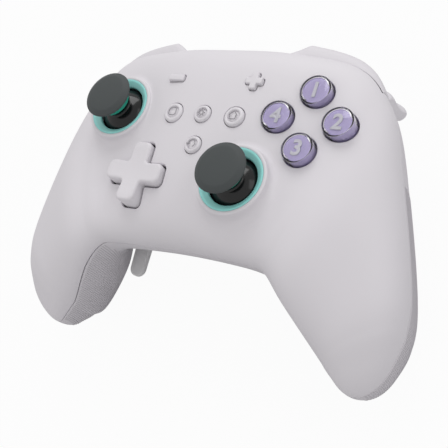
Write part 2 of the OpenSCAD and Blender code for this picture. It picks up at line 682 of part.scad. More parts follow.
// Bracket inside the shoulder: a back plate, two ears that carry both hinges, and a tab
// that is clamped under a screw post
module shoulder_frame() {
    plate_y = -12;
    plate_t = 1.2;
    plate_half = ear_in + ear_t;
    low = pin_z - 2.6;
    plate_low = -bumper_floor - 3;
    ear_back = plate_y + 2.1;
    turn = [[cos(shoulder_turn), -sin(shoulder_turn)], [sin(shoulder_turn), cos(shoulder_turn)]];
    end = [shoulder[0], shoulder[1]] + turn * [-plate_half, plate_y + plate_t / 2];
    tab = end - post_spots[0];
    color([0.3, 0.3, 0.31]) difference() {
        union() {
            on_shoulder() {
                translate([-plate_half, plate_y, plate_low])
                    cube([2 * plate_half, plate_t, tab_z + tab_t - plate_low]);
                for (s = [-1, 1]) translate([s * (ear_in + ear_t / 2) - ear_t / 2, 0, 0]) {
                    translate([0, ear_back, low]) cube([ear_t, -ear_back - pin_in + 1.8, 5.2]);
                    translate([0, plate_y, plate_low])
                        cube([ear_t, -plate_y - rock_in + 1.6, rock_z + 2 - plate_low]);
                }
            }
            at(post_spots[0], tab_z) {
                cylinder(r = post_r, h = tab_t);
                rotate(atan2(tab[1], tab[0])) translate([0, -1.8, 0]) cube([norm(tab), 3.6, tab_t]);
            }
        }
        on_shoulder() {
            translate([0, -pin_in, pin_z]) along_x(trigger_pin_r + 0.01, 60);
            translate([0, -rock_in, rock_z]) along_x(rock_r + fit, 60);
        }
        at(post_spots[0], tab_z - 1) cylinder(r = screw_r + 0.2, h = tab_t + 2);
    }
}

/* Paddles, drawn on the right and mirrored to the left */
paddle_pin = [paddle_x, paddle_len - 39.4];
paddle_pin_z = back_z(paddle_x, paddle_pin[1]) - 2.7;
paddle_pin_r = 0.9;
hub_w = paddle_w + 0.6;
droop = 7;              // angle at which a blade stands off the back

module paddle() {
    tip_r = paddle_w / 2 - 0.3;
    color([0.55, 0.55, 0.56]) at(paddle_pin, paddle_pin_z) difference() {
        union() {
            along_x(2.1, hub_w);
            rotate([droop, 0, 0]) translate([0, 0, -paddle_t / 2 - 0.4]) linear_extrude(paddle_t) {
                translate([0, tip_r - paddle_len]) circle(tip_r);
                polygon([[-tip_r, tip_r - paddle_len], [tip_r, tip_r - paddle_len],
                    [hub_w / 2, -4], [hub_w / 2, 0], [-hub_w / 2, 0], [-hub_w / 2, -4]]);
            }
        }
        along_x(paddle_pin_r + fit, 40);
    }
}

module paddle_pin() {
    color([0.7, 0.71, 0.73]) at(paddle_pin, paddle_pin_z) along_x(paddle_pin_r, hub_w + 4.4);
}

// Two ears on the back that hold a paddle's pin
module paddle_ears() {
    at(paddle_pin) for (s = [-1, 1]) difference() {
        union() {
            translate([s * (hub_w / 2 + 1.3) - 0.9, -2.4, paddle_pin_z]) cube([1.8, 4.8, 5.2]);
            translate([s * (hub_w / 2 + 1.3), 0, paddle_pin_z]) along_x(2.4, 1.8);
        }
        translate([0, 0, paddle_pin_z]) along_x(paddle_pin_r + 0.02, 40);
    }
}

module paddle_room() {
    at(paddle_pin, paddle_pin_z) {
        along_x(2.1 + gap, hub_w + 0.7);
        along_x(paddle_pin_r + 0.02, hub_w + 4.6);
    }
}

/* Inside */
motor_spot = [0.8 * half, -edge_bottom + 10];
motor_z = -38;
usb = [8.9, 10, 3.3];
usb_z = -board_depth + usb[2] / 2;
usb_in = 0.6;           // how far the socket's mouth lies inside the edge
cell_gap = 0.7;         // room between the battery and the back

module main_board() {
    side = [[8, edge_top - 9.4], [8, 23], [22, 23], [30, 23.5], [37, 25.5], [49, 21.8], [57, 8], [58, -10], [46, -22], [14, -26]];
    color([0.1, 0.32, 0.2]) translate([0, 0, -board_depth - board_t]) difference() {
        linear_extrude(board_t)
            polygon(concat(side, [for (k = [len(side) - 1:-1:0]) [-side[k][0], side[k][1]]]));
        for (p = post_spots) at(p, -1) cylinder(r = post_r + 0.5, h = board_t + 2);
    }
}

module battery() {
    size = [42, 24];
    front = -8;
    high = -board_depth - board_t;
    low = max([for (x = [0, 0.5, 1], y = [0:0.25:1])
        skin_z(x * size[0] / 2, front + y * size[1], -1, wall)]) + cell_gap;
    color([0.2, 0.22, 0.25]) translate([-size[0] / 2, front, low]) cube([size[0], size[1], high - low]);
}

module motor() {
    color([0.6, 0.61, 0.63]) at(motor_spot, motor_z) rotate([90, 0, 0]) {
        translate([0, 0, -motor_len]) cylinder(r = motor_r, h = motor_len);
        translate([0, 0, -1]) cylinder(r = 1, h = 7.6);
    }
}

// Half-round weight on the motor shaft
module motor_weight() {
    color([0.45, 0.45, 0.47]) at(motor_spot, motor_z) translate([0, -1, 0]) rotate([90, 0, 0]) difference() {
        union() {
            difference() {
                cylinder(r = weight_r, h = 5);
                translate([-20, 0.8, -1]) cube([40, 20, 7]);
            }
            cylinder(r = 2.4, h = 5);
        }
        translate([0, 0, -1]) cylinder(r = 1 + fit, h = 7);
    }
}

// Saddle in the back shell that carries a motor
module motor_saddle() {
    x = motor_spot[0];
    y = motor_spot[1] + motor_len / 2;
    low = max([for (i = [-4, 4], j = [-3.5, 3.5]) back_z(x + i, y + j)]) + 0.4;
    difference() {
        translate([x - 4, y - 3.5, low]) cube([8, 7, motor_z - low]);
        at(motor_spot, motor_z) rotate([90, 0, 0]) cylinder(r = motor_r, h = 60, center = true);
    }
}

module usb_outline(c) {
    r = usb[2] / 2 + c;
    square([usb[0] - usb[2], 2 * r], center = true);
    for (s = [-1, 1]) translate([s * (usb[0] - usb[2]) / 2, 0]) circle(r);
}

// Metal socket shell with its contact tongue
module usb_port() {
    mouth = edge_top - usb_in;
    color([0.72, 0.73, 0.75]) translate([0, mouth, usb_z]) rotate([90, 0, 0]) {
        difference() {
            linear_extrude(usb[1]) usb_outline(0);
            translate([0, 0, -1]) linear_extrude(usb[1] - 0.5) usb_outline(-0.35);
        }
        translate([-3.2, -0.35, 1]) cube([6.4, 0.7, usb[1] - 1.5]);
    }
}

module case_screws() {
    color([0.35, 0.35, 0.36]) for (p = post_spots) at(p, head_seat(p)) {
        translate([0, 0, -head_h]) cylinder(r = head_r, h = head_h);
        cylinder(r = screw_r, h = post_joint(p) + 5 - head_seat(p));
    }
}

/* Shells */
module front_shell() {
    color([0.84, 0.83, 0.86]) difference() {
        union() {
            difference() {
                shell_sheet(1);
                for (s = [left_stick, right_stick]) at(s, -12) cylinder(r = collar_r - 0.3, h = 20);
            }
            collar(left_stick);
            collar(right_stick);
            for (k = [0:len(post_spots) - 1]) let (p = post_spots[k], low = post_joint(p) + (k < 2 ? tab_t + 0.12 : 0.06))
                at(p, low) cylinder(r = post_r, h = post_top(p) - low);
        }
        at(pad, -20) linear_extrude(30) cross_2d(pad_arm + 0.55, pad_w + 1.1, pad_corner);
        for (d = [[0, 1], [1, 0], [0, -1], [-1, 0]]) at(button_spot(d[0], d[1]), -20)
            cylinder(r = button_r + gap, h = 30);
        at(menu_spots[0], -14) linear_extrude(24) minus_2d(gap);
        at(menu_spots[1], -14) linear_extrude(24) plus_2d(gap);
        for (k = [2, 4]) at(menu_spots[k], -14) cylinder(r = menu_r + gap, h = 24);
        for (k = [3, 5]) at(menu_spots[k], -14) cylinder(r = small_r + gap, h = 24);
        for (p = post_spots) at(p, post_joint(p) - 1) cylinder(r = screw_r + 0.02, h = 6.3);
        bumper_room(bumper_ledge);
        mirror([1, 0, 0]) bumper_room(bumper_ledge);
    }
}

module rear_shell() {
    color([0.8, 0.79, 0.82]) difference() {
        union() {
            shell_sheet(-1);
            for (p = post_spots) at(p) {
                translate([0, 0, head_seat(p) - head_h]) cylinder(r = post_r, h = post_joint(p) - head_seat(p) + head_h);
                translate([0, 0, head_seat(p) - head_h])
                    cylinder(r = post_r + 1.4, h = boss_step(p) - head_seat(p) + head_h);
            }
            for (s = [0, 1]) mirror([s, 0, 0]) {
                paddle_ears();
                motor_saddle();
            }
        }
        for (p = post_spots) at(p, 0) {
            translate([0, 0, -80]) cylinder(r = screw_r + 0.2, h = 90);
            translate([0, 0, -80]) cylinder(r = hole_r, h = 80 + head_seat(p));
        }
        for (s = [0, 1]) mirror([s, 0, 0]) {
            bumper_room(arm_room);
            trigger_room();
            paddle_room();
        }
        translate([0, edge_top + 5, usb_z]) rotate([90, 0, 0])
            linear_extrude(5 + usb_in + usb[1] + gap) usb_outline(0.3);
    }
}

/* Placing: the outline's middle over the origin, the lowest point of the grips on the ground */
grid = [for (u = skin_steps, j = [0:turn_steps], side = [-1, 1]) skin(u, 180 * j / turn_steps, side, 0)];
hole_r = head_r + 0.3;
function off_holes(p) =
    min([for (q = post_spots) norm([p[0] - q[0], p[1] - q[1]])]) > hole_r;
hole_rims = [for (q = post_spots, a = [0:15:345])
    back_z(q[0] + hole_r * cos(a), q[1] + hole_r * sin(a)) - seam_gap / 2];
lift = -min(concat([for (p = grid) if (off_holes(p)) p[2]], hole_rims));
near_y = min([for (p = grid) p[1]]);
far_y = max(concat(
    [for (s = trigger_rows, p = trigger_ring(s)) shoulder[1] + sin(shoulder_turn) * p[0] + cos(shoulder_turn) * p[1]],
    [for (k = [0:bumper_rows], p = bumper_ring(bumper_from + (bumper_to - bumper_from) * k / bumper_rows)) p[1]]
));
shift = -(near_y + far_y) / 2;
module placed() translate([0, shift, lift]) children();
module left() mirror([1, 0, 0]) children();

placed() front_shell();
placed() rear_shell();
placed() left() bumper();  // left_bumper
placed() bumper();  // right_bumper
placed() left() trigger();  // left_trigger
placed() trigger();  // right_trigger
placed() left() trigger_pin();  // left_trigger_pin
placed() trigger_pin();  // right_trigger_pin
placed() left() trigger_spring();  // left_trigger_spring
placed() trigger_spring();  // right_trigger_spring
placed() left() shoulder_frame();  // left_shoulder_frame
placed() shoulder_frame();  // right_shoulder_frame
placed() at(left_stick) stick_ring();  // left_stick_ring
placed() at(right_stick) stick_ring();  // right_stick_ring
placed() at(left_stick) stick_cap();  // left_stick_cap
placed() at(right_stick) stick_cap();  // right_stick_cap
placed() at(left_stick) stick_band();  // left_stick_band
placed() at(right_stick) stick_band();  // right_stick_band
placed() at(left_stick) stick_skirt();  // left_stick_skirt
placed() at(right_stick) stick_skirt();  // right_stick_skirt
placed() at(left_stick) stick_shaft();  // left_stick_shaft
placed() at(right_stick) stick_shaft();  // right_stick_shaft
placed() at(left_stick) stick_yoke();  // left_stick_yoke
placed() at(right_stick) stick_yoke();  // right_stick_yoke
placed() at(left_stick) stick_module();  // left_stick_module
placed() at(right_stick) stick_module();  // right_stick_module
placed() cross_pad();
placed() cross_pad_rocker();
placed() cross_pad_membrane();
placed() button_core(0, 1);  // north_button
placed() button_cap(0, 1);  // north_button_cap
placed() button_core(1, 0);  // east_button
placed() button_cap(1, 0);  // east_button_cap
placed() button_core(0, -1);  // south_button
placed() button_cap(0, -1);  // south_button_cap
placed() button_core(-1, 0);  // west_button
placed() button_cap(-1, 0);  // west_button_cap
placed() face_membrane();
placed() menu_button(menu_spots[0], sign_len / 2) minus_2d();  // minus_button
placed() menu_button(menu_spots[1], sign_len / 2) plus_2d();  // plus_button
placed() menu_button(menu_spots[2], menu_r) circle(menu_r);  // capture_button
placed() menu_button(menu_spots[3], small_r) circle(small_r);  // settings_button
placed() menu_button(menu_spots[4], menu_r) circle(menu_r);  // home_button
placed() menu_button(menu_spots[5], small_r) circle(small_r);  // profile_button
placed() menu_membrane();
placed() left() paddle();  // left_paddle
placed() paddle();  // right_paddle
placed() left() paddle_pin();  // left_paddle_pin
placed() paddle_pin();  // right_paddle_pin
placed() main_board();
placed() battery();
placed() left() motor();  // left_motor
placed() motor();  // right_motor
placed() left() motor_weight();  // left_motor_weight
placed() motor_weight();  // right_motor_weight
placed() usb_port();
placed() case_screws();
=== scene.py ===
import math

import bmesh
import bpy
import numpy as np
from mathutils import Matrix, Vector


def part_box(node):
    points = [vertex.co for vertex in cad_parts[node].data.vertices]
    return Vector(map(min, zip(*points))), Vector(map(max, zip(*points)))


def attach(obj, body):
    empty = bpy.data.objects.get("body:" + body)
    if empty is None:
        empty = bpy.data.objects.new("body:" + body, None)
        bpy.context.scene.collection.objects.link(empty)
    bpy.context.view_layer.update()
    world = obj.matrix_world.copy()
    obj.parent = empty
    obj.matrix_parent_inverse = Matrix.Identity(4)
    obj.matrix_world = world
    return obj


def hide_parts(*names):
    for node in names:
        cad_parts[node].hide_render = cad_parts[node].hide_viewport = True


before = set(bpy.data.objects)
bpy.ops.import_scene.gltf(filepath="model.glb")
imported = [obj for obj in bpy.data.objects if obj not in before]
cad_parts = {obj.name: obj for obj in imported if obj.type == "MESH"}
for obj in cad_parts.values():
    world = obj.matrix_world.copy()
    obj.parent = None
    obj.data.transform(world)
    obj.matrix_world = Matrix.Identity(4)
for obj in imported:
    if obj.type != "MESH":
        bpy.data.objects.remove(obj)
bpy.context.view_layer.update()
scene = bpy.context.scene


# Studio
# A plain white sweep in an evenly lit room, with a broad soft light above the bumpers and a weak one on
# the right. The camera stands over the player's right hand and looks down across the face.
scene.view_settings.view_transform = "Standard"

camera_right = (0.84655, 0.31162, -0.43156)
camera_up = (-0.12868, 0.90650, 0.40213)
camera_back = (0.51652, -0.28489, 0.80749)
camera_at = (0.149211, -0.087550, 0.260248)
camera_data = bpy.data.cameras.new("photo_camera")
camera_data.lens = 64.443
camera_data.sensor_width = 36.0
camera_data.clip_start = 0.01
camera = bpy.data.objects.new("photo_camera", camera_data)
camera.matrix_world = Matrix(
    [*zip(camera_right, camera_up, camera_back, camera_at), (0.0, 0.0, 0.0, 1.0)])
scene.collection.objects.link(camera)
scene.camera = camera


def node(tree, kind, settings=None, **values):
    """A new node with its settings and input values; an underscore in a name stands for a space."""
    made = tree.nodes.new(kind)
    for name, value in (settings or {}).items():
        setattr(made, name, value)
    for name, value in values.items():
        made.inputs[name.replace("_", " ")].default_value = value
    return made


def linked(tree, *links):
    """Makes links, each given as node, output, node, input."""
    for source, output, target, into in links:
        tree.links.new(source.outputs[output], target.inputs[into])


def seen_as_background(tree):
    """A node that gives 1 for the rays that show the white room: to the camera and through clear plastic."""
    path = node(tree, "ShaderNodeLightPath")
    either = node(tree, "ShaderNodeMath", {"operation": "MAXIMUM"})
    linked(tree, (path, "Is Camera Ray", either, 0), (path, "Is Transmission Ray", either, 1))
    return either


room = bpy.data.worlds.new("white_room")
scene.world = room
room.use_nodes = True
air = room.node_tree
air.nodes.clear()
room_out = node(air, "ShaderNodeOutputWorld")
room_mix = node(air, "ShaderNodeMixShader")
room_fill = node(air, "ShaderNodeBackground", Color=(1.0, 0.99, 0.985, 1.0), Strength=0.74)
room_white = node(air, "ShaderNodeBackground", Color=(1.0, 1.0, 1.0, 1.0))
linked(air, (seen_as_background(air), 0, room_mix, 0), (room_fill, 0, room_mix, 1),
       (room_white, 0, room_mix, 2), (room_mix, 0, room_out, "Surface"))

floor_height, floor_reach, shadow_share = -0.0005, 3.0, 0.05
floor_mesh = bpy.data.meshes.new("floor")
floor_mesh.from_pydata(
    [(x * floor_reach, y * floor_reach, floor_height) for x, y in ((-1, -1), (1, -1), (1, 1), (-1, 1))],
    [], [(0, 1, 2, 3)])
floor = bpy.data.objects.new("floor", floor_mesh)
scene.collection.objects.link(floor)
floor_paper = bpy.data.materials.new("floor_paper")
floor_paper.use_nodes = True
paper = floor_paper.node_tree
paper.nodes.clear()
paper_out = node(paper, "ShaderNodeOutputMaterial")
paper_matt = node(paper, "ShaderNodeBsdfDiffuse", Color=(0.62, 0.62, 0.63, 1.0))
paper_glow = node(paper, "ShaderNodeEmission")
paper_shown = node(paper, "ShaderNodeMixShader")
paper_shown.inputs[0].default_value = shadow_share
paper_mix = node(paper, "ShaderNodeMixShader")
linked(paper, (paper_glow, 0, paper_shown, 1), (paper_matt, 0, paper_shown, 2), (paper_matt, 0, paper_mix, 1),
       (paper_shown, 0, paper_mix, 2), (seen_as_background(paper), 0, paper_mix, 0),
       (paper_mix, 0, paper_out, "Surface"))
floor_mesh.materials.append(floor_paper)


def soft_box(name, place, aim, size, power):
    """A square soft light at a place, turned towards a point, all in metres."""
    lamp = bpy.data.lights.new(name, "AREA")
    lamp.size = size
    lamp.energy = power
    holder = bpy.data.objects.new(name, lamp)
    holder.location = place
    holder.rotation_euler = (Vector(aim) - Vector(place)).to_track_quat("-Z", "Y").to_euler()
    scene.collection.objects.link(holder)


soft_box("key_light", (-0.08, 0.75, 0.72), (0.0, 0.0, 0.03), 0.6, 3.1)
soft_box("side_light", (0.75, 0.25, 0.55), (0.0, 0.0, 0.03), 0.5, 0.7)


# Front shell
# The upper half of the case, injection-moulded in matt grey ABS: a face that runs down into both
# grips, two raised collars for the sticks and a rounded lip at every opening. Screws hold it from behind.
MM = 0.001
half_span, edge_top, edge_bottom, grip_reach, grip_drop = 74.0, 38.8, 33.0, 29.3, 40.5
face_rise, back_depth, wall, seam = 15.2, 32.0, 2.2, 0.4
tip_y = -edge_bottom - grip_reach
flank = edge_top - tip_y
grip_tip = np.array([0.863 * half_span, tip_y, -grip_drop])

# The sticks' ring plane is the drawing's zero height; this is where it lies in the frame.
left_stick, right_stick = (-36.4, 11.2), (18.7, -11.9)
ring_low, ring_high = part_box("left_stick_ring")
drawing_zero = np.array([0.0, 500 * (ring_low.y + ring_high.y) - left_stick[1], 1000 * ring_high.z - 0.1])

# Sections of the body from its middle to a grip: bottom edge, top edge, rise, depth, squareness.
section_shares = [
    (0.000, 0.00, 0.445, 0.000, 0.000, 0.320, 1.00, 0.44, 4.5),
    (0.203, 0.01, 0.445, 0.297, 0.000, 0.333, 0.94, 0.47, 4.5),
    (0.372, 0.06, 0.383, 0.622, 0.023, 0.383, 0.77, 0.56, 4.2),
    (0.453, 0.13, 0.365, 0.784, 0.136, 0.469, 0.82, 0.70, 3.4),
    (0.547, 0.38, 0.474, 0.885, 0.353, 0.568, 0.95, 1.00, 2.8),
    (0.682, 0.741, 0.798, 1.000, 0.682, 0.806, 1.02, 0.90, 3.1),
    (0.724, 0.845, 0.854, 1.005, 0.857, 0.905, 0.80, 0.675, 3.3),
]
stations = np.array([
    (a * half_span, -edge_bottom - b * grip_reach, -c * grip_drop,
     d * half_span, edge_top - e * flank, -f * grip_drop, g * face_rise, h * back_depth, n)
    for a, b, c, d, e, f, g, h, n in section_shares])
beside_middle = stations[1] * [-1, 1, 1, -1, 1, 1, 1, 1, 1]
beyond_last = 2 * stations[6] - stations[5]
stations = np.vstack([beside_middle, stations, beyond_last])
tip_tapers = (0.75, 0.15, 0.41)  # how far width, rise and depth have closed where a tip's rounding begins


def plain_section(u, draw):
    """Middle, half chord, rise, depth and squareness of the body's sections at u, drawn in by a wall."""
    k = np.minimum(np.floor(u).astype(int), 5)
    t = (np.minimum(u, 6.0) - k)[..., None]
    a, b, c, d = (stations[k + i] for i in range(4))
    row = 0.5 * (2 * b + (c - a) * t + (2 * a - 5 * b + 4 * c - d) * t**2 + (3 * b - a - 3 * c + d) * t**3)
    middle, half_chord = (row[..., 0:3] + row[..., 3:6]) / 2, (row[..., 3:6] - row[..., 0:3]) / 2
    over_tip = np.sin(np.maximum(0.0, u - 6.0) * math.pi / 2)
    narrow, flat, low = (np.sqrt(np.maximum(0, (1 - (taper + (1 - taper) * over_tip) ** 2) / (1 - taper**2)))
                         for taper in tip_tapers)
    reach = grip_tip - middle
    reach = reach * (1 - draw / np.linalg.norm(reach, axis=-1, keepdims=True))
    half_chord = half_chord * (1 - draw / np.linalg.norm(half_chord, axis=-1, keepdims=True))
    return (middle + reach * over_tip[..., None], half_chord * narrow[..., None],
            (row[..., 6] - draw) * flat, (row[..., 7] - draw) * low, row[..., 8])


def body_section(u, draw=0.0):
    """The body's sections at u, blended with their neighbours where a grip turns into its tip."""
    u = np.abs(np.asarray(u, float))
    spread = 0.5 * np.cos(np.clip((u - 6.0) / 0.95, -1, 1) * math.pi / 2) ** 2
    near = [plain_section(u + spread * k, draw) for k in np.linspace(-1, 1, 9)]
    return tuple(sum(values) / len(near) for values in zip(*near))


def body_squareness(side, across, face_square, u):
    """How square the section is: the face towards its top and bottom edge, or the back."""
    u = np.abs(u)
    if side > 0:
        return np.where(across > 0, face_square, 3.2 - 0.7 * np.clip(u - 2.2, 0, 1))
    ease = np.clip(u - 4, 0, 1)
    return np.where(across > 0, 2.3 - 0.16 * ease, 2.9 - 0.8 * np.clip(u / 2.5 - 1.3, 0, 1) - 0.04 * ease)


def body_skin(u, turn, side, draw=0.0, lip=0.0):
    """Points of the face (side 1) or the back (side -1), with the edge at the seam rounded by lip."""
    u, turn = np.asarray(u, float), np.asarray(turn, float)
    middle, half_chord, rise, depth, square = body_section(u, draw)
    c, s = np.cos(turn)[None, :], np.sin(turn)[None, :]
    n = body_squareness(side, c, square[:, None], u[:, None])
    radius = (np.abs(c)**n + np.abs(s)**n) ** (-1 / n)
    height = (rise if side > 0 else depth)[:, None] * s * radius
    across = c * radius
    if lip:
        low = np.clip(lip - height, 0, lip)
        inset = (lip - np.sqrt(lip**2 - low**2)) * (1 - np.clip(np.abs(u) - 6, 0, 1))[:, None]
        across = across * (1 - inset / np.maximum(1.0, np.linalg.norm(half_chord, axis=-1))[:, None])
    points = middle[:, None, :] + half_chord[:, None, :] * across[..., None]
    points[..., 2] += side * (height + seam / 2)
    points[..., 0] *= np.where(u < 0, -1, 1)[:, None]
    return points


def skin_height(x, y, side=1):
    """Height of the face or the back over points of the plan."""
    x, y = np.abs(np.asarray(x, float)), np.asarray(y, float)
    low, high = np.zeros_like(x), np.full_like(x, 6.0)
    for _ in range(24):
        u = (low + high) / 2
        middle, chord = body_section(u)[:2]
        start = middle - chord
        beyond = (x - start[..., 0]) * chord[..., 1] > (y - start[..., 1]) * chord[..., 0]
        low, high = np.where(beyond, u, low), np.where(beyond, high, u)
    middle, chord, rise, depth, square = body_section(u)
    across = ((x - middle[..., 0]) * chord[..., 0] + (y - middle[..., 1]) * chord[..., 1]) / (
        chord[..., 0]**2 + chord[..., 1]**2)
    n = body_squareness(side, across, square, u)
    out = np.maximum(0, 1 - np.abs(across)**n) ** (1 / n)
    return middle[..., 2] + chord[..., 2] * across + side * ((rise if side > 0 else depth) * out + seam / 2)


def grid_faces(rows, columns, start=0, closed=False):
    """Quads of a grid of points that were listed row by row."""
    last = columns if closed else columns - 1
    return [(start + i * columns + j, start + (i + 1) * columns + j,
             start + (i + 1) * columns + (j + 1) % columns, start + i * columns + (j + 1) % columns)
            for i in range(rows - 1) for j in range(last)]


def capped_faces(rows, columns):
    """Faces of a closed body whose rings were listed one after another, with its two ends."""
    return grid_faces(rows, columns, closed=True) + [
        tuple(range(columns)), tuple(range((rows - 1) * columns, rows * columns))]


def looped_faces(rows, columns):
    """Faces of a body whose last ring joins its first one."""
    last = (rows - 1) * columns
    return grid_faces(rows, columns, closed=True) + [
        (last + j, j, (j + 1) % columns, last + (j + 1) % columns) for j in range(columns)]


def at_height(plan, z):
    """Points of the plan at a height, or each at its own."""
    return np.column_stack([plan, np.broadcast_to(z, len(plan))])


def outward(outline):
    """Directions square to a plan outline."""
    along = np.roll(outline, -1, 0) - np.roll(outline, 1, 0)
    return np.stack([along[:, 1], -along[:, 0]], 1) / np.linalg.norm(along, axis=1)[:, None]


def in_metres(points):
    """The drawing's millimetres as places in the frame."""
    return ((np.asarray(points) + drawing_zero) * MM).tolist()


def set_right(mesh, merge=0.0):
    """Joins points of a mesh that coincide and turns all its faces outward."""
    work = bmesh.new()
    work.from_mesh(mesh)
    if merge:
        bmesh.ops.remove_doubles(work, verts=work.verts, dist=merge)
    bmesh.ops.recalc_face_normals(work, faces=work.faces)
    work.to_mesh(mesh)
    work.free()


def made_piece(name, points, faces):
    """A closed piece from points in the drawing's millimetres, with its place in the mesh."""
    mesh = bpy.data.meshes.new(name)
    mesh.from_pydata(in_metres(points), [], faces)
    set_right(mesh, 2e-7)
    piece = bpy.data.objects.new(name, mesh)
    scene.collection.objects.link(piece)
    shade(piece)
    return piece


def shade(piece, sharp=35.0):
    """Smooth shading with crisp edges where the faces turn by more than an angle."""
    mesh = piece.data
    mesh.polygons.foreach_set("use_smooth", [True] * len(mesh.polygons))
    mesh.set_sharp_from_angle(angle=math.radians(sharp))
    mesh.update()


def final_mesh(holder):
    """The mesh of an object with its modifiers worked in."""
    bpy.context.view_layer.update()
    return bpy.data.meshes.new_from_object(holder.evaluated_get(bpy.context.evaluated_depsgraph_get()))


def cut_away(piece, cutters):
    """Cuts the openings out of a piece and clears the cutters away."""
    for cutter in cutters:
        opening = piece.modifiers.new(cutter.name, "BOOLEAN")
        opening.operation = "DIFFERENCE"
        opening.solver = "MANIFOLD"
        opening.object = cutter
    mesh = final_mesh(piece)
    mesh.materials.clear()
    piece.modifiers.clear()
    piece.data = mesh
    for cutter in cutters:
        bpy.data.objects.remove(cutter)
    shade(piece)


def joined(piece, *others):
    """Takes the meshes of other pieces into the first one."""
    work = bmesh.new()
    work.from_mesh(piece.data)
    for other in others:
        work.from_mesh(other.data)
        bpy.data.objects.remove(other)
    work.to_mesh(piece.data)
    work.free()
    return piece


def shell_half(name, side):
    """One half of the case: outer skin, inner skin and the rim between them."""
    tip_rows, body_rows = np.linspace(6, 7, 15), np.linspace(-6, 6, 12 * 22 + 1)
    rows = np.concatenate([-tip_rows[:0:-1], body_rows, tip_rows[1:]])
    edge = np.array([0, 0.25, 0.5, 0.8, 1.2, 1.8, 2.6, 3.6, 5, 7, 9.5, 12.5, 16, 20, 24, 28, 32, 36])
    turns = np.radians(np.concatenate([edge, np.arange(39, 142, 2), 180 - edge[::-1]]))
    n, m = len(rows), len(turns)
    outer = body_skin(rows, turns, side, lip=0.3).reshape(-1, 3)
    inner = body_skin(rows, turns, side, draw=wall).reshape(-1, 3)
    faces = grid_faces(n, m) + grid_faces(n, m, n * m)
    for j in (0, m - 1):
        faces += [(i * m + j, (i + 1) * m + j, (n + i + 1) * m + j, (n + i) * m + j) for i in range(n - 1)]
    return made_piece(name, np.vstack([outer, inner]), faces)


def face_opening(name, outline, lip=0.35):
    """A plug that cuts an opening of this plan outline through the face and rounds its upper edge."""
    out = outward(outline)
    edge = outline + out * lip * 1.3
    rings = [at_height(edge, 12.0), at_height(edge, skin_height(*edge.T) + 0.2)]
    for a in np.linspace(0, math.pi / 2, 6):
        edge = outline + out * lip * (1 - math.sin(a))
        rings.append(at_height(edge, skin_height(*edge.T) - lip * (1 - math.cos(a))))
    rings.append(at_height(outline, -30.0))
    return made_piece(name, np.vstack(rings), capped_faces(len(rings), len(outline)))


def circle(spot, radius, steps=72):
    """Points of a circle in the plan."""
    a = np.linspace(0, 2 * math.pi, steps, endpoint=False)
    return np.column_stack([spot[0] + radius * np.cos(a), spot[1] + radius * np.sin(a)])


def cross_outline(spot, arm, width, corner, throat):
    """Outline of a cross with rounded arm ends and rounded throats between the arms."""
    w = width / 2
    quarter = []
    for x, y, r, first in ((arm - corner, -w + corner, corner, -90), (arm - corner, w - corner, corner, 0)):
        quarter += [(x + r * math.cos(math.radians(first + d)), y + r * math.sin(math.radians(first + d)))
                    for d in range(0, 91, 10)]
    corner_at = w + throat
    quarter += [(corner_at + throat * math.cos(math.radians(d)), corner_at + throat * math.sin(math.radians(d)))
                for d in range(270, 179, -15)]
    points = []
    for k in range(4):
        c, s = round(math.cos(k * math.pi / 2)), round(math.sin(k * math.pi / 2))
        points += [(spot[0] + c * x - s * y, spot[1] + s * x + c * y) for x, y in quarter]
    return np.array(points)


def bar_outline(spot, length, width, corner):
    """Outline of a bar with rounded corners."""
    points = []
    for sx, sy, first in ((1, -1, -90), (1, 1, 0), (-1, 1, 90), (-1, -1, 180)):
        points += [(spot[0] + sx * (length / 2 - corner) + corner * math.cos(math.radians(first + d)),
                    spot[1] + sy * (width / 2 - corner) + corner * math.sin(math.radians(first + d)))
                   for d in range(0, 91, 15)]
    return np.array(points)


def edge_point(u, out, z):
    """A point at a distance outside the body's top edge, as the bumpers are drawn."""
    middle, chord = body_section(u)[:2]
    edge = middle + chord
    across = chord[:2] / np.linalg.norm(chord[:2])
    return edge[0] + across[0] * out, edge[1] + across[1] * out, z


def ledge_height(u, out):
    """Height of the face beside the top edge."""
    middle, chord, rise, _, square = body_section(u)
    t = 1 + out / np.linalg.norm(chord)
    return middle[2] + chord[2] * t + rise * max(0.0, 1 - t**square) ** (1 / square)


bumper_from, bumper_to, bumper_ledge, bumper_floor, bumper_drop = 0.98, 2.7, 1.0, 20.5, 1.4


def bumper_room(name, mirror, ledge):
    """The notch for a bumper in a half of the case, with a rounded edge on the face."""
    rings = []
    rows = np.linspace(bumper_from - 0.02, bumper_to + 0.02, 60)
    for u in rows:
        top = ledge_height(u, -ledge) + seam / 2
        low = -bumper_floor - bumper_drop
        rings.append([edge_point(u, a, z) for a, z in (
            (9, 12), (9, low), (-ledge, low), (-ledge, top - 0.3),
            (-ledge - 0.06, top - 0.05), (-ledge - 0.15, top + 0.2), (-ledge - 0.2, 12))])
    points = np.array(rings).reshape(-1, 3) * [-1 if mirror else 1, 1, 1]
    return made_piece(name, points, capped_faces(len(rows), len(rings[0])))


ring_radius, collar_radius, stick_bore = 11.2, 12.5, 10.4


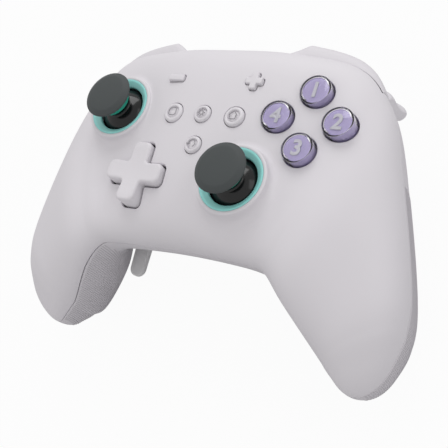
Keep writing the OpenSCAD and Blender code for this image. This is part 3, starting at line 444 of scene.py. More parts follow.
def stick_collar(name, spot):
    """Seat for a stick ring, flared down into the face all round."""
    steps = 120
    profile = [
        (11.9, -4.4), (stick_bore, -3.0), (stick_bore, -1.6), (ring_radius + 0.03, -1.6),
        (ring_radius + 0.03, -0.22), (11.3, -0.08), (11.45, 0.0), (11.8, 0.02), (12.1, -0.04),
        (12.32, -0.18), (12.45, -0.42), (12.5, -0.75)]
    rings = [at_height(circle(spot, r, steps), z) for r, z in profile]
    for w in np.linspace(0, 1, 18)[1:]:
        plan = circle(spot, collar_radius + 0.2 * w + 3.6 * w**2.4, steps)
        ease = 1 - (1 - w) ** 2.4
        rings.append(at_height(plan, -0.75 + (skin_height(*plan.T) + 0.75) * ease - 0.03 * w))
    rings.append(rings[-1] - [0, 0, 1.4])
    plan = circle(spot, collar_radius + 0.4, steps)
    rings.append(at_height(plan, np.minimum(skin_height(*plan.T) - 1.6, -4.4)))
    return made_piece(name, np.vstack(rings), looped_faces(len(rings), steps))


def from_screen(red, green, blue):
    """A colour read off a screen, 0 to 255, as light."""
    return tuple(v / 255 / 12.92 if v <= 10 else ((v / 255 + 0.055) / 1.055) ** 2.4 for v in (red, green, blue))


def new_finish(name):
    """A new material with its node tree and its shader."""
    material = bpy.data.materials.new(name)
    material.use_nodes = True
    return material, material.node_tree, material.node_tree.nodes["Principled BSDF"]


def moulded_plastic(name, colour, roughness, grain=0.00035, depth=0.000012, cloud=0.025):
    """Moulded plastic: even colour with a faint cloud in it, and the fine grain of a spark-eroded tool."""
    material, tree, shader = new_finish(name)
    shader.inputs["IOR"].default_value = 1.46
    where = node(tree, "ShaderNodeTexCoord")
    clouds = node(tree, "ShaderNodeTexNoise", Scale=45.0, Detail=3.0)
    tone = node(tree, "ShaderNodeMix", {"data_type": "RGBA"},
                A=(*(v * (1 - cloud) for v in colour), 1.0), B=(*(v * (1 + cloud) for v in colour), 1.0))
    grains = node(tree, "ShaderNodeTexNoise", Scale=1.0 / grain, Detail=2.0)
    polish = node(tree, "ShaderNodeMapRange", To_Min=roughness - 0.04, To_Max=roughness + 0.04)
    bump = node(tree, "ShaderNodeBump", Strength=0.6, Distance=depth)
    linked(tree, (where, "Object", clouds, "Vector"), (where, "Object", grains, "Vector"),
           (clouds, "Fac", tone, "Factor"), (tone, "Result", shader, "Base Color"),
           (grains, "Fac", polish, "Value"), (polish, "Result", shader, "Roughness"),
           (grains, "Fac", bump, "Height"), (bump, "Normal", shader, "Normal"))
    return material


pad_spot, pad_arm, pad_width, pad_corner = (-19.6, -13.0), 11.1, 7.2, 2.2
button_spots = {"north": (37.3, 22.3), "east": (47.7, 11.9), "south": (37.3, 1.5), "west": (26.9, 11.9)}
button_radius = 5.25
menu_spots = {"minus": (-15.5, 23.4), "plus": (15.5, 23.4), "capture": (-12.1, 10.1), "settings": (0.0, 10.1),
              "home": (12.1, 10.1), "profile": (0.0, -1.2)}
menu_radii = {"capture": 3.6, "home": 3.6, "settings": 3.1, "profile": 3.1}
sign_length, sign_width = 6.2, 2.3

shell_grey = moulded_plastic("front_shell_grey", from_screen(218, 215, 220), 0.5)
front = shell_half("front_case", 1)
pad_gap, button_gap, menu_gap = 0.55, 0.35, 0.22
pad_hole = cross_outline(pad_spot, pad_arm + pad_gap, pad_width + 2 * pad_gap, pad_corner, 0.6)
minus_hole = bar_outline(menu_spots["minus"], sign_length + 2 * button_gap, sign_width + 2 * button_gap, 0.9)
plus_hole = cross_outline(
    menu_spots["plus"], sign_length / 2 + button_gap, sign_width + 2 * button_gap, 0.9, 0.25)
openings = [face_opening("pad_opening", pad_hole, 0.5)]
openings += [face_opening(f"{k}_opening", circle(spot, button_radius + button_gap))
             for k, spot in button_spots.items()]
openings += [face_opening(f"{k}_opening", circle(menu_spots[k], r + menu_gap), 0.2)
             for k, r in menu_radii.items()]
openings += [face_opening("minus_opening", minus_hole, 0.2), face_opening("plus_opening", plus_hole, 0.2)]
openings += [face_opening(f"stick_opening_{k}", circle(s, collar_radius - 0.4), 0.02)
             for k, s in enumerate((left_stick, right_stick))]
openings += [bumper_room(f"bumper_room_{k}", k, bumper_ledge) for k in (0, 1)]
cut_away(front, openings)
front = joined(front, stick_collar("left_collar", left_stick), stick_collar("right_collar", right_stick))
front.data.materials.append(shell_grey)
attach(front, "body")
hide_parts("front_shell")


# Rear shell
# The lower half of the case in the same ABS. It is cut out for the triggers and the charging socket,
# has deep holes for the case screws, and two ears on each side that hold a paddle's pin.
shoulder_u = 1.9
shoulder_middle, shoulder_chord = body_section(shoulder_u)[:2]
shoulder = shoulder_middle + shoulder_chord
shoulder_turn = math.atan2(shoulder_chord[1], shoulder_chord[0]) - math.pi / 2


def on_shoulder(points, mirror):
    """Moves points from the straight frame of a trigger to their shoulder."""
    c, s = math.cos(shoulder_turn), math.sin(shoulder_turn)
    points = np.asarray(points, float)
    x, y, z = points.T
    placed = np.column_stack([shoulder[0] + c * x - s * y, shoulder[1] + s * x + c * y, z])
    return placed * [-1 if mirror else 1, 1, 1]


box_faces = [(0, 1, 3, 2), (4, 6, 7, 5), (0, 4, 5, 1), (2, 3, 7, 6), (0, 2, 6, 4), (1, 5, 7, 3)]


def box_points(low, high):
    """Corners of a box."""
    spans = list(zip(low, high))
    return np.array([(x, y, z) for x in spans[0] for y in spans[1] for z in spans[2]])


def round_rod(name, radius, start, end, steps=40):
    """A plain round rod between two points."""
    start, end = Vector(start), Vector(end)
    turn = (end - start).to_track_quat("Z", "Y")
    rings = []
    for middle in (start, end):
        rings += [middle + turn @ Vector((radius * math.cos(a), radius * math.sin(a), 0))
                  for a in np.linspace(0, 2 * math.pi, steps, endpoint=False)]
    return made_piece(name, np.array(rings), capped_faces(2, steps))


trigger_width, trigger_length, hub_half = 20.0, 16.0, 6.3
trigger_top = -bumper_floor - bumper_drop - 0.4
rear = shell_half("rear_case", -1)
rooms = [bumper_room(f"bumper_notch_{k}", k, 3.6) for k in (0, 1)]
for k in (0, 1):
    high = -bumper_floor - bumper_drop
    w = trigger_width / 2 + 0.6
    for room_name, low, top in (
            ("trigger_notch", (-w, -6.8, -60), (w, 24, high)),
            ("hub_notch", (-9.3, -10.4, -60), (9.3, 20, high - 0.01)),
            ("arm_notch", (-6.8, -8.4, -24.5), (6.8, -0.4, -18.5))):
        rooms.append(made_piece(f"{room_name}_{k}", on_shoulder(box_points(low, top), k), box_faces))
usb_height = -17.35
usb_outline = bar_outline((0, 0), 8.9 + 0.6, 3.3 + 0.6, 1.9)
usb_plug = np.array([(x, y, z + usb_height) for y in (30.0, 46.0) for x, z in usb_outline])
rooms.append(made_piece("socket_notch", usb_plug, capped_faces(2, len(usb_outline))))

screw_spots = [(26.0, 27.8), (-26.0, 27.8), (0.0, -22.0), (62.16, -43.3), (-62.16, -43.3)]
head_radius, head_height = 2.6, 1.7
screw_seats = []
for k, spot in enumerate(screw_spots):
    around = circle(spot, head_radius, 8)
    seat = float(np.max(skin_height(*around.T, -1))) + seam / 2 + head_height + 0.4
    screw_seats.append(seat)
    rooms.append(round_rod(f"screw_hole_{k}", head_radius + 0.3, (*spot, -80), (*spot, seat)))

paddle_pin = np.array([33.2, -8.4, 0.0])
pin_low, pin_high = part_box("right_paddle_pin")
paddle_pin[2] = 500 * (pin_low.z + pin_high.z) - drawing_zero[2]
hub_width = 7.4
ears = []
for k, sign in ((0, 1), (1, -1)):
    middle = paddle_pin * [sign, 1, 1]
    reach = np.array([hub_width / 2 + 0.35, 0, 0])
    rooms.append(round_rod(f"paddle_hub_room_{k}", 2.45, middle - reach, middle + reach))
cut_away(rear, rooms)
for sign in (1, -1):
    for side in (1, -1):
        x = sign * paddle_pin[0] + side * (hub_width / 2 + 1.3)
        arch = [(paddle_pin[1] + 2.4 * math.cos(a), paddle_pin[2] + 2.4 * math.sin(a))
                for a in np.linspace(math.pi, 2 * math.pi, 25)]
        arch += [(paddle_pin[1] + 2.4, paddle_pin[2] + 4.2), (paddle_pin[1] - 2.4, paddle_pin[2] + 4.2)]
        plates = np.array([(x + d, y, z) for d in (-0.9, 0.9) for y, z in arch])
        ears.append(made_piece("paddle_ear", plates, capped_faces(2, len(arch))))
rear = joined(rear, *ears)
# The rear grey is the front shell's grey darkened as painted shade, for the shade that falls on the back and
# the grips.
rear_grey_and_painted_shade = moulded_plastic("rear_shell_painted_shade", from_screen(210, 207, 212), 0.52)
rear.data.materials.append(rear_grey_and_painted_shade)
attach(rear, "body")
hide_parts("rear_shell")


# Grip plugs
# Moulded plugs that close the two deep screw holes in the grips, pressed in flush with the back. The
# ribs run on over them.
for name, spot in (("right_grip_plug", screw_spots[3]), ("left_grip_plug", screw_spots[4])):
    rings = []
    for r in np.linspace(0, head_radius + 0.2, 7):
        plan = circle(spot, r, 48)
        rings.append(at_height(plan, skin_height(*plan.T, -1)))
    inside = rings[-1][:, 2].max() + 0.25
    for r in (head_radius + 0.2, 0.0):
        rings.append(at_height(circle(spot, r, 48), inside))
    plug = made_piece(name, np.vstack(rings), grid_faces(len(rings), 48, closed=True))
    # The plugs take the rear grey with its painted shade.
    plug.data.materials.append(rear_grey_and_painted_shade)
    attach(plug, "body")


# Grip ribs
# Fine level ribs across the back of each grip, so that it doesn't slip in the hand. They are cut in the
# moulding tool, start at the seam and follow the grip round.
rib_pitch, rib_radius, rib_sunk = 0.6, 0.2, 0.03


def rib_lines(sign):
    """Lines on the back of a grip, one for each level, a little below the skin."""
    turns = np.radians(np.linspace(2.0, 178.0, 76))
    rows = np.linspace(2.6, 6.97, 420)
    skin = body_skin(rows, turns, -1)
    along, around = np.gradient(skin, axis=0), np.gradient(skin, axis=1)
    normal = np.cross(along, around)
    normal /= np.linalg.norm(normal, axis=-1, keepdims=True)
    inward = body_section(rows)[0][:, None, :] - skin
    normal *= -np.sign(np.sum(normal * inward, -1, keepdims=True))
    first_row = 2.75 + 1.25 * (1 + np.cos(turns)) / 2
    points, edges = [], []
    for level in np.arange(-61.5, 16.0, rib_pitch):
        line = []
        for j in range(len(turns)):
            y = skin[:, j, 1]
            k = int(np.searchsorted(-y, -level))
            if not 0 < k < len(rows) or rows[k] < first_row[j]:
                line.append(None)
                continue
            f = (y[k - 1] - level) / (y[k - 1] - y[k])
            spot = skin[k - 1, j] * (1 - f) + skin[k, j] * f
            line.append(spot - normal[k, j] * rib_sunk)
        for a, b in zip(line, line[1:]):
            if a is not None and b is not None and np.linalg.norm(a - b) < 4:
                if not points or points[-1] is not a:
                    points.append(a)
                points.append(b)
                edges.append((len(points) - 2, len(points) - 1))
    return np.array(points) * [sign, 1, 1], edges


def rib_tree(material):
    """Geometry Nodes that sweep a round bead along every rib line."""
    tree = bpy.data.node_groups.new("grip_rib_beads", "GeometryNodeTree")
    tree.interface.new_socket("Lines", in_out="INPUT", socket_type="NodeSocketGeometry")
    radius = tree.interface.new_socket("Bead radius", in_out="INPUT", socket_type="NodeSocketFloat")
    sides = tree.interface.new_socket("Bead sides", in_out="INPUT", socket_type="NodeSocketInt")
    tree.interface.new_socket("Ribs", in_out="OUTPUT", socket_type="NodeSocketGeometry")
    given = node(tree, "NodeGroupInput")
    bead = node(tree, "GeometryNodeCurvePrimitiveCircle")
    line = node(tree, "GeometryNodeMeshToCurve")
    sweep = node(tree, "GeometryNodeCurveToMesh", Fill_Caps=True)
    real = node(tree, "GeometryNodeRealizeInstances")
    paint = node(tree, "GeometryNodeSetMaterial", Material=material)
    result = node(tree, "NodeGroupOutput")
    linked(tree, (given, "Lines", line, "Mesh"), (given, "Bead radius", bead, "Radius"),
           (given, "Bead sides", bead, "Resolution"), (line, "Curve", sweep, "Curve"),
           (bead, "Curve", sweep, "Profile Curve"), (sweep, "Mesh", real, "Geometry"),
           (real, "Geometry", paint, "Geometry"), (paint, "Geometry", result, "Ribs"))
    return tree, radius.identifier, sides.identifier


# The rib grey is the shell's grey darkened further as painted shade, for the shade that falls on the grips.
ribs_with_painted_shade = moulded_plastic("grip_ribs_painted_shade", from_screen(197, 194, 199), 0.55)
rib_nodes, bead_radius, bead_sides = rib_tree(ribs_with_painted_shade)


def settled(holder):
    """Turns a piece with live Geometry Nodes into a plain mesh."""
    mesh = final_mesh(holder)
    holder.modifiers.clear()
    holder.data = mesh
    set_right(mesh)


for name, sign in (("left_grip_ribs", -1), ("right_grip_ribs", 1)):
    points, edges = rib_lines(sign)
    lines = bpy.data.meshes.new(name)
    lines.from_pydata(in_metres(points), edges, [])
    ribs = bpy.data.objects.new(name, lines)
    scene.collection.objects.link(ribs)
    beads = ribs.modifiers.new("beads", "NODES")
    beads.node_group = rib_nodes
    beads[bead_radius] = rib_radius * MM
    beads[bead_sides] = 6
    settled(ribs)
    shade(ribs, 80)
    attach(ribs, "body")


# Bumpers
# Two moulded shoulder buttons, one piece each, in the same grey. They fill a notch along the top edge, and
# arms behind them turn in the shoulder frames.
def rounded_ring(corners):
    """A closed outline through corners (x, y, radius), each eased by a short curve."""
    ring = []
    count = len(corners)
    for k in range(count):
        before, here, after = (np.array(corners[(k + d) % count][:2], float) for d in (-1, 0, 1))
        r = corners[k][2]
        back, ahead = before - here, after - here
        start = here + back * min(0.5, r / max(1e-9, np.linalg.norm(back)))
        end = here + ahead * min(0.5, r / max(1e-9, np.linalg.norm(ahead)))
        for t in np.linspace(0, 1, 5):
            ring.append((1 - t) ** 2 * start + 2 * t * (1 - t) * here + t * t * end)
    return np.array(ring)


def bumper_ring(u):
    """Section of a bumper across the body's edge, as distance outside the edge and height."""
    t = (u - bumper_from) / (bumper_to - bumper_from)
    out = 5.2 * min(1, 0.1 + 7 * t) * (1 - 0.5 * t - 0.45 * t * t)
    top, low = ledge_height(u, -bumper_ledge) - 0.6, -bumper_floor
    back = -bumper_ledge + 0.25
    k = min(1, (out - back) / 3.4)
    return rounded_ring([
        (back, top, 0.2), (back, low, 0.2), (out - 2.4 * k, low, 1.0 * k), (out - 0.8 * k, low + 1, 1.2 * k),
        (out, low + 3.4, 2.0), (out, top - 2.6, 1.2), (out - 0.4 * k, top - 1.4, 1.2),
        (out - 1.2 * k, top - 0.6, 1.2), (out - 2.4 * k, top - 0.2, 1.2)])


shoulder_grey = moulded_plastic("shoulder_grey", from_screen(215, 212, 217), 0.46)
for name, sign in (("left_bumper", -1), ("right_bumper", 1)):
    rings = [[edge_point(u, a, z) for a, z in bumper_ring(u)]
             for u in np.linspace(bumper_from, bumper_to, 70)]
    points = np.array(rings).reshape(-1, 3) * [sign, 1, 1]
    bumper = made_piece(f"{name}_face", points, capped_faces(len(rings), len(rings[0])))
    bumper.data.materials.append(shoulder_grey)
    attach(bumper, name)
    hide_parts(name)


# Triggers
# Long levers under the bumpers with a hooked lip for the finger, moulded in one piece. A hub on a steel
# pin carries each, and a wire spring in the hub brings it back.
def trigger_bow(s):
    """How far a trigger's outer face falls back towards its ends."""
    end = max(0.0, abs(s) - trigger_width / 2 + 3)
    return -3.4 * (s / 13) ** 2 - 1.4 * (1 - math.sqrt(max(0.0, 1 - end * end / 9.2)))


def trigger_ring(s):
    """Section of a trigger at a distance from its middle."""
    length, bow, wing = trigger_length, trigger_bow(s), abs(s) > hub_half
    corners = []
    for a, z, share in (
            (-9.6, -2.8, 0), (-9.2, -4.4, 0), (-6.5, -5.7, 0), (-4.2, -0.46 * length, 0.4),
            (-2, -0.64 * length, 1), (0.6, -0.86 * length, 1), (3.2, -0.99 * length, 1), (4.6, -length, 1),
            (5, -0.95 * length, 1), (3.4, -0.77 * length, 1), (2.7, -0.58 * length, 1),
            (2.5, -0.42 * length, 1), (2.6, -0.24 * length, 1), (2, -0.09 * length, 1),
            (0.8, -0.01 * length, 1), (-3, 0, 0.5), (-7, -0.1, 0), (-8.8, -1, 0)):
        place = max(a + bow, -3.2 + 0.05 * a + 0.25 * bow) if wing else a + bow * share
        corners.append((place, trigger_top + z, 3.0))
    return rounded_ring(corners)


wing_rows = trigger_width / 2 * np.cos(np.linspace(0, 0.8, 12))
hub_rows = np.array([-hub_half - 0.05, -hub_half, *np.linspace(-6.0, 6.0, 15), hub_half, hub_half + 0.05])
trigger_rows = np.concatenate([-wing_rows, hub_rows, wing_rows[::-1]])
for name, mirror in (("left_trigger", 1), ("right_trigger", 0)):
    rings = [[(s, a, z) for a, z in trigger_ring(s)] for s in trigger_rows]
    points = on_shoulder(np.array(rings).reshape(-1, 3), mirror)
    trigger = made_piece(f"{name}_lever", points, capped_faces(len(rings), len(rings[0])))
    trigger.data.materials.append(shoulder_grey)
    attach(trigger, name)
    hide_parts(name)


# Cross pad
# A one-piece moulded cross with rounded edges and a shallow dish for the thumb. Its round flange lies
# behind the face and rocks on a pivot over four silicone domes.
def turned(name, profile, spot, steps=96):
    """A piece turned on an upright axis from a closed outline of (radius, height)."""
    rings = [at_height(circle(spot, r, steps), z) for r, z in profile]
    open_bore = profile[0][0] > 1e-6 or profile[-1][0] > 1e-6
    faces = looped_faces(len(rings), steps) if open_bore else grid_faces(len(rings), steps, closed=True)
    return made_piece(name, np.vstack(rings), faces)


pad_low, pad_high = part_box("cross_pad")
pad_top = 1000 * pad_high.z - drawing_zero[2]
pad_foot = 1000 * pad_low.z - drawing_zero[2]
pad_edge = 1.0
outline = cross_outline((0, 0), pad_arm, pad_width, pad_corner, 0.9)
out = outward(outline)


def pad_height(plan):
    """Top of the pad: a shallow dish that levels out at the arm ends."""
    r2 = np.sum(plan**2, axis=1)
    return pad_top + np.minimum(0.0, -0.6 + r2 / 130)


rings = [at_height(outline, pad_foot + 1.0)]
for a in np.linspace(0, math.pi / 2, 8):
    plan = outline - out * pad_edge * (1 - math.cos(a))
    rings.append(at_height(plan, pad_height(plan) - pad_edge * (1 - math.sin(a))))
crown = outline - out * pad_edge
for shrink in np.linspace(1, 0, 22)[1:]:
    plan = crown * shrink
    rings.append(at_height(plan, pad_height(plan)))
points = np.vstack(rings) + [*pad_spot, 0]
m = len(outline)
cross = made_piece("cross_pad_top", points, grid_faces(len(rings), m, closed=True) + [tuple(range(m))])
flange_radius, flange_top = 12.0, pad_foot + 1.2
flange = turned("pad_flange", [
    (0, pad_foot), (flange_radius, pad_foot), (flange_radius, flange_top), (0, flange_top)], pad_spot)
cross = joined(cross, flange)
cross.data.materials.append(moulded_plastic("cross_pad_grey", from_screen(217, 214, 219), 0.45))
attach(cross, "cross_pad")
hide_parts("cross_pad")


# Stick rings
# Smooth turquoise rings pressed into the collars, on which the sticks' stems slide round. They slope in
# towards the opening.
def eased(corners):
    """A turned outline from corners (radius, height, easing)."""
    ring = rounded_ring(corners)
    ring[:, 0] = np.maximum(ring[:, 0], 0.0)
    return [tuple(p) for p in ring]


ring_turquoise = moulded_plastic(
    "ring_turquoise", from_screen(152, 224, 220), 0.32, grain=0.0006, depth=0.000004)
for side, spot in (("left", left_stick), ("right", right_stick)):
    ring = turned(f"{side}_turquoise_ring", eased([
        (8.7, -2.3, 0.1), (8.7, -1.5, 0.3), (9.0, -1.1, 0.3), (10.5, 0.05, 0.35), (11.2, 0.05, 0.2),
        (11.2, -1.55, 0.1), (9.9, -1.55, 0.1), (9.9, -2.3, 0.1)]), spot, 144)
    ring.data.materials.append(ring_turquoise)
    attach(ring, "body")
    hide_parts(f"{side}_stick_ring")


# Thumbsticks
# A rubber cap with a level crown and a bevelled rim is moulded over the stem. Below it come a green band
# and a glossy black dome that keeps the opening closed while the stick tilts.
def soft_rubber(name, colour):
    """Matt rubber with a fine speckle, a little sheen and a soft rough skin."""
    material = moulded_plastic(name, colour, 0.62, grain=0.00025, depth=0.00003, cloud=0.06)
    shader = material.node_tree.nodes["Principled BSDF"]
    shader.inputs["Sheen Weight"].default_value = 0.05
    shader.inputs["Sheen Roughness"].default_value = 0.5
    return material


cap_rubber = soft_rubber("cap_rubber", from_screen(63, 68, 69))
band_green = moulded_plastic("band_green", from_screen(40, 150, 128), 0.3, depth=0.000004)
dome_black = moulded_plastic("dome_black", from_screen(16, 17, 18), 0.14, grain=0.0008, depth=0.000003)
for side, spot in (("left", left_stick), ("right", right_stick)):
    cap = turned(f"{side}_rubber_cap", [(0.0, 7.2)] + eased([
        (2.05, 7.2, 0.05), (2.05, 5.1, 0.05), (5.8, 5.15, 0.2), (7.4, 5.9, 0.8), (8.5, 6.9, 0.8),
        (8.8, 7.5, 0.5), (8.75, 7.85, 0.4), (7.0, 8.85, 0.5), (4.0, 9.14, 1.5), (0.8, 9.2, 0.6),
        (0.0, 9.2, 0.02),
        (0.0, 8.0, 0.02), (0.0, 7.2, 0.02)])[:-6], spot, 144)
    cap.data.materials.append(cap_rubber)
    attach(cap, f"{side}_stick")
    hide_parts(f"{side}_stick_cap")
    band = turned(f"{side}_green_band", eased([
        (2.05, 3.0, 0.05), (5.6, 3.0, 0.2), (5.81, 3.25, 0.2), (5.81, 4.9, 0.2), (5.65, 5.1, 0.15),
        (2.05, 5.1, 0.05)]), spot)
    band.data.materials.append(band_green)
    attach(band, f"{side}_stick")
    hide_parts(f"{side}_stick_band")
    arc, under = ([(r * math.sin(math.radians(d)), -10 + r * math.cos(math.radians(d))) for d in range(*turn)]
                  for r, turn in ((11.2, (24, 69, 2)), (10.2, (68, 23, -4))))
    stem = [(2.05, 3.0), (4.8, 3.0), (4.94, 2.9), (4.85, 2.6), (4.4, 2.1), (4.2, 1.5), (4.22, 0.9), (4.35, 0.5)]
    dome = turned(f"{side}_black_dome", stem + arc + under + [(2.05, -0.2)], spot, 144)
    dome.data.materials.append(dome_black)
    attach(dome, f"{side}_stick")
    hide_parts(f"{side}_stick_skirt")


# Face buttons
# Lavender cores with a raised silver figure, each under a polished clear acrylic cap with a rounded rim.
# Core and cap move together on a silicone mat. The figures are plain numbers.
def clear_acrylic(name):
    """Polished clear acrylic with a barely uneven surface."""
    material, tree, shader = new_finish(name)
    shader.inputs["Base Color"].default_value = (0.97, 0.965, 0.99, 1.0)
    shader.inputs["Roughness"].default_value = 0.03
    shader.inputs["IOR"].default_value = 1.49
    shader.inputs["Transmission Weight"].default_value = 1.0
    where = node(tree, "ShaderNodeTexCoord")
    wave = node(tree, "ShaderNodeTexNoise", Scale=250.0)
    bump = node(tree, "ShaderNodeBump", Strength=0.05, Distance=0.00002)
    linked(tree, (where, "Object", wave, "Vector"), (wave, "Fac", bump, "Height"),
           (bump, "Normal", shader, "Normal"))
    return material


def raised_figure(name, figure, spot, height, size, thick):
    """A raised number, its middle over a spot."""
    words = bpy.data.curves.new(name, "FONT")
    words.body = figure
    words.size = size * MM
    words.align_x, words.align_y = "CENTER", "CENTER"
    words.extrude = thick / 2 * MM
    words.offset = 0.16 * MM
    words.bevel_depth = 0.05 * MM
    holder = bpy.data.objects.new(name, words)
    scene.collection.objects.link(holder)
    mesh = final_mesh(holder)
    bpy.data.objects.remove(holder)
    low = np.array([v.co for v in mesh.vertices]).min(0)
    high = np.array([v.co for v in mesh.vertices]).max(0)
    foot = np.array([(low[0] + high[0]) / 2, (low[1] + high[1]) / 2, low[2]])
    mesh.transform(Matrix.Translation((np.array([*spot, height]) + drawing_zero) * MM - foot))
    piece = bpy.data.objects.new(name, mesh)
    scene.collection.objects.link(piece)
    set_right(mesh, 1e-7)
    shade(piece, 30)
    return piece


lavender = moulded_plastic("lavender_core", from_screen(190, 178, 222), 0.35, grain=0.0006, depth=0.000004)
figure_silver = moulded_plastic(
    "figure_silver", from_screen(222, 221, 226), 0.4, grain=0.0004, depth=0.000006)
acrylic = clear_acrylic("clear_acrylic")
for figure, (side, spot) in zip("1234", button_spots.items()):
    low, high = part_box(f"{side}_button_cap")
    top, seat = 1000 * high.z - drawing_zero[2], 1000 * low.z - drawing_zero[2]
    foot = 1000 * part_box(f"{side}_button")[0].z - drawing_zero[2]
    core = turned(f"{side}_core", [(0.0, foot)] + eased([
        (2.0, foot, 0.1), (2.0, seat - 1.0, 0.1), (6.35, seat - 1.0, 0.1), (6.35, seat - 0.1, 0.1),
        (4.45, seat - 0.1, 0.1), (4.45, top - 1.1, 0.35)]) + [(0.0, top - 1.1)], spot, 72)
    number = raised_figure(f"{side}_figure", figure, spot, top - 1.12, 7.4, 0.2)
    core.data.materials.append(lavender)
    core.data.materials.append(figure_silver)
    number.data.materials.clear()
    number.data.materials.append(lavender)
    number.data.materials.append(figure_silver)
    number.data.polygons.foreach_set("material_index", [1] * len(number.data.polygons))
    core = joined(core, number)
    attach(core, f"{side}_button")
    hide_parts(f"{side}_button")
    hollow = [(0.0, top - 0.75), (4.3, top - 0.75), (4.53, top - 0.98), (4.55, top - 1.2), (4.55, seat + 0.05),
              (5.2, seat + 0.05), (5.25, seat + 0.1)]
    rim = [(4.35 + 0.9 * math.cos(math.radians(d)), top - 0.9 + 0.9 * math.sin(math.radians(d)))
           for d in range(0, 91, 9)]
    cap = turned(f"{side}_clear_cap", hollow + rim + [(0.0, top)], spot, 96)
    cap.data.materials.append(acrylic)
    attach(cap, f"{side}_button")
    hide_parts(f"{side}_button_cap")


# Menu buttons
# Six small moulded buttons on one silicone mat. The bar and the cross stand out of the face; the round
# ones are slightly domed and carry a fine moulded sign.
def drawn_line(points, width, height, thick, closed=False):
    """A flat ribbon along a line of the plan: points and faces."""
    line = np.asarray(points, float)
    ahead = np.roll(line, -1, 0) - line
    behind = line - np.roll(line, 1, 0)
    if not closed:
        ahead[-1], behind[0] = behind[-1], ahead[0]
    ahead /= np.linalg.norm(ahead, axis=1)[:, None]
    behind /= np.linalg.norm(behind, axis=1)[:, None]
    across = ahead + behind
    across = np.stack([-across[:, 1], across[:, 0]], 1) / np.linalg.norm(across, axis=1)[:, None]
    widen = 1 / np.maximum(0.5, np.sum(across * np.stack([-ahead[:, 1], ahead[:, 0]], 1), 1))
    side = across * (widen * width / 2)[:, None]
    n = len(line)
    ribbon = np.vstack([at_height(line + s * side, z)
                        for s, z in ((1, height), (1, height + thick), (-1, height + thick), (-1, height))])
    faces = []
    for k in range(n if closed else n - 1):
        a, b = k, (k + 1) % n
        faces += [(i * n + a, i * n + b, (i + 1) % 4 * n + b, (i + 1) % 4 * n + a) for i in range(4)]
    if not closed:
        faces += [tuple(i * n for i in range(4)), tuple(i * n + n - 1 for i in range(4))]
    return ribbon, faces


def arc_line(spot, radius, first, last, steps=28):
    """Points of an arc in the plan, angles in degrees."""
    a = np.radians(np.linspace(first, last, steps))
    return np.column_stack([spot[0] + radius * np.cos(a), spot[1] + radius * np.sin(a)])


def sign_lines(sign, spot):
    """The lines of a button's sign, each with whether it is closed."""
    x, y = spot
    if sign == "capture":
        return [(bar_outline(spot, 2.7, 2.7, 0.7), True)]
    if sign == "settings":
        rays = [([(x + r * math.cos(a), y + r * math.sin(a)) for r in (1.05, 1.6)], False)
                for a in np.radians(np.arange(0, 360, 45))]
        return [(arc_line(spot, 0.75, 0, 352.5, 30), True)] + rays
    if sign == "home":
        return [([(x - 1.6, y + 0.1), (x, y + 1.6), (x + 1.6, y + 0.1)], False),
                ([(x - 1.1, y + 0.2), (x - 1.1, y - 1.3), (x + 1.1, y - 1.3), (x + 1.1, y + 0.2)], False)]
    return [(arc_line(spot, 1.3, -60, 200, 30), False),
            ([(x - 2.0, y + 0.1), (x - 1.22, y - 0.55), (x - 0.55, y + 0.15)], False)]


menu_grey = moulded_plastic("menu_button_grey", from_screen(218, 215, 220), 0.42)
sign_grey = moulded_plastic("sign_grey", from_screen(140, 137, 143), 0.5)
for sign, spot in menu_spots.items():
    low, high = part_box(f"{sign}_button")
    top, foot = 1000 * high.z - drawing_zero[2], 1000 * low.z - drawing_zero[2]
    if sign in menu_radii:
        r = menu_radii[sign]
        button = turned(f"{sign}_key", [(0.0, foot)] + eased([
            (1.4, foot, 0.1), (1.4, top - 4.6, 0.1), (r + 0.9, top - 4.6, 0.1), (r + 0.9, top - 3.7, 0.1),
            (r, top - 3.7, 0.1), (r, top - 0.45, 0.8), (r * 0.6, top - 0.07, 1.0)
        ]) + [(0.0, top - 0.05)], spot, 72)
        button.data.materials.append(menu_grey)
        button.data.materials.append(sign_grey)
        for line, closed in sign_lines(sign, spot):
            mark = made_piece("sign_line", *drawn_line(line, 0.24, top - 0.09, 0.09, closed))
            mark.data.materials.append(menu_grey)
            mark.data.materials.append(sign_grey)
            mark.data.polygons.foreach_set("material_index", [1] * len(mark.data.polygons))
            button = joined(button, mark)
    else:
        plan = (bar_outline(spot, sign_length, sign_width, 0.55) if sign == "minus"
                else cross_outline(spot, sign_length / 2, sign_width, 0.5, 0.25))
        out = outward(plan)
        rings = [at_height(plan, top - 4.0)]
        for a in np.linspace(0, math.pi / 2, 6):
            rings.append(at_height(plan - out * 0.4 * (1 - math.cos(a)), top - 0.4 * (1 - math.sin(a))))
        button = made_piece(f"{sign}_key", np.vstack(rings), capped_faces(len(rings), len(plan)))
        stem = turned("menu_stem", [(0, foot), (1.4, foot), (1.4, top - 3.9), (0, top - 3.9)], spot, 32)
        button = joined(button, stem)
        button.data.materials.append(menu_grey)
    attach(button, f"{sign}_button")
    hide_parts(f"{sign}_button")


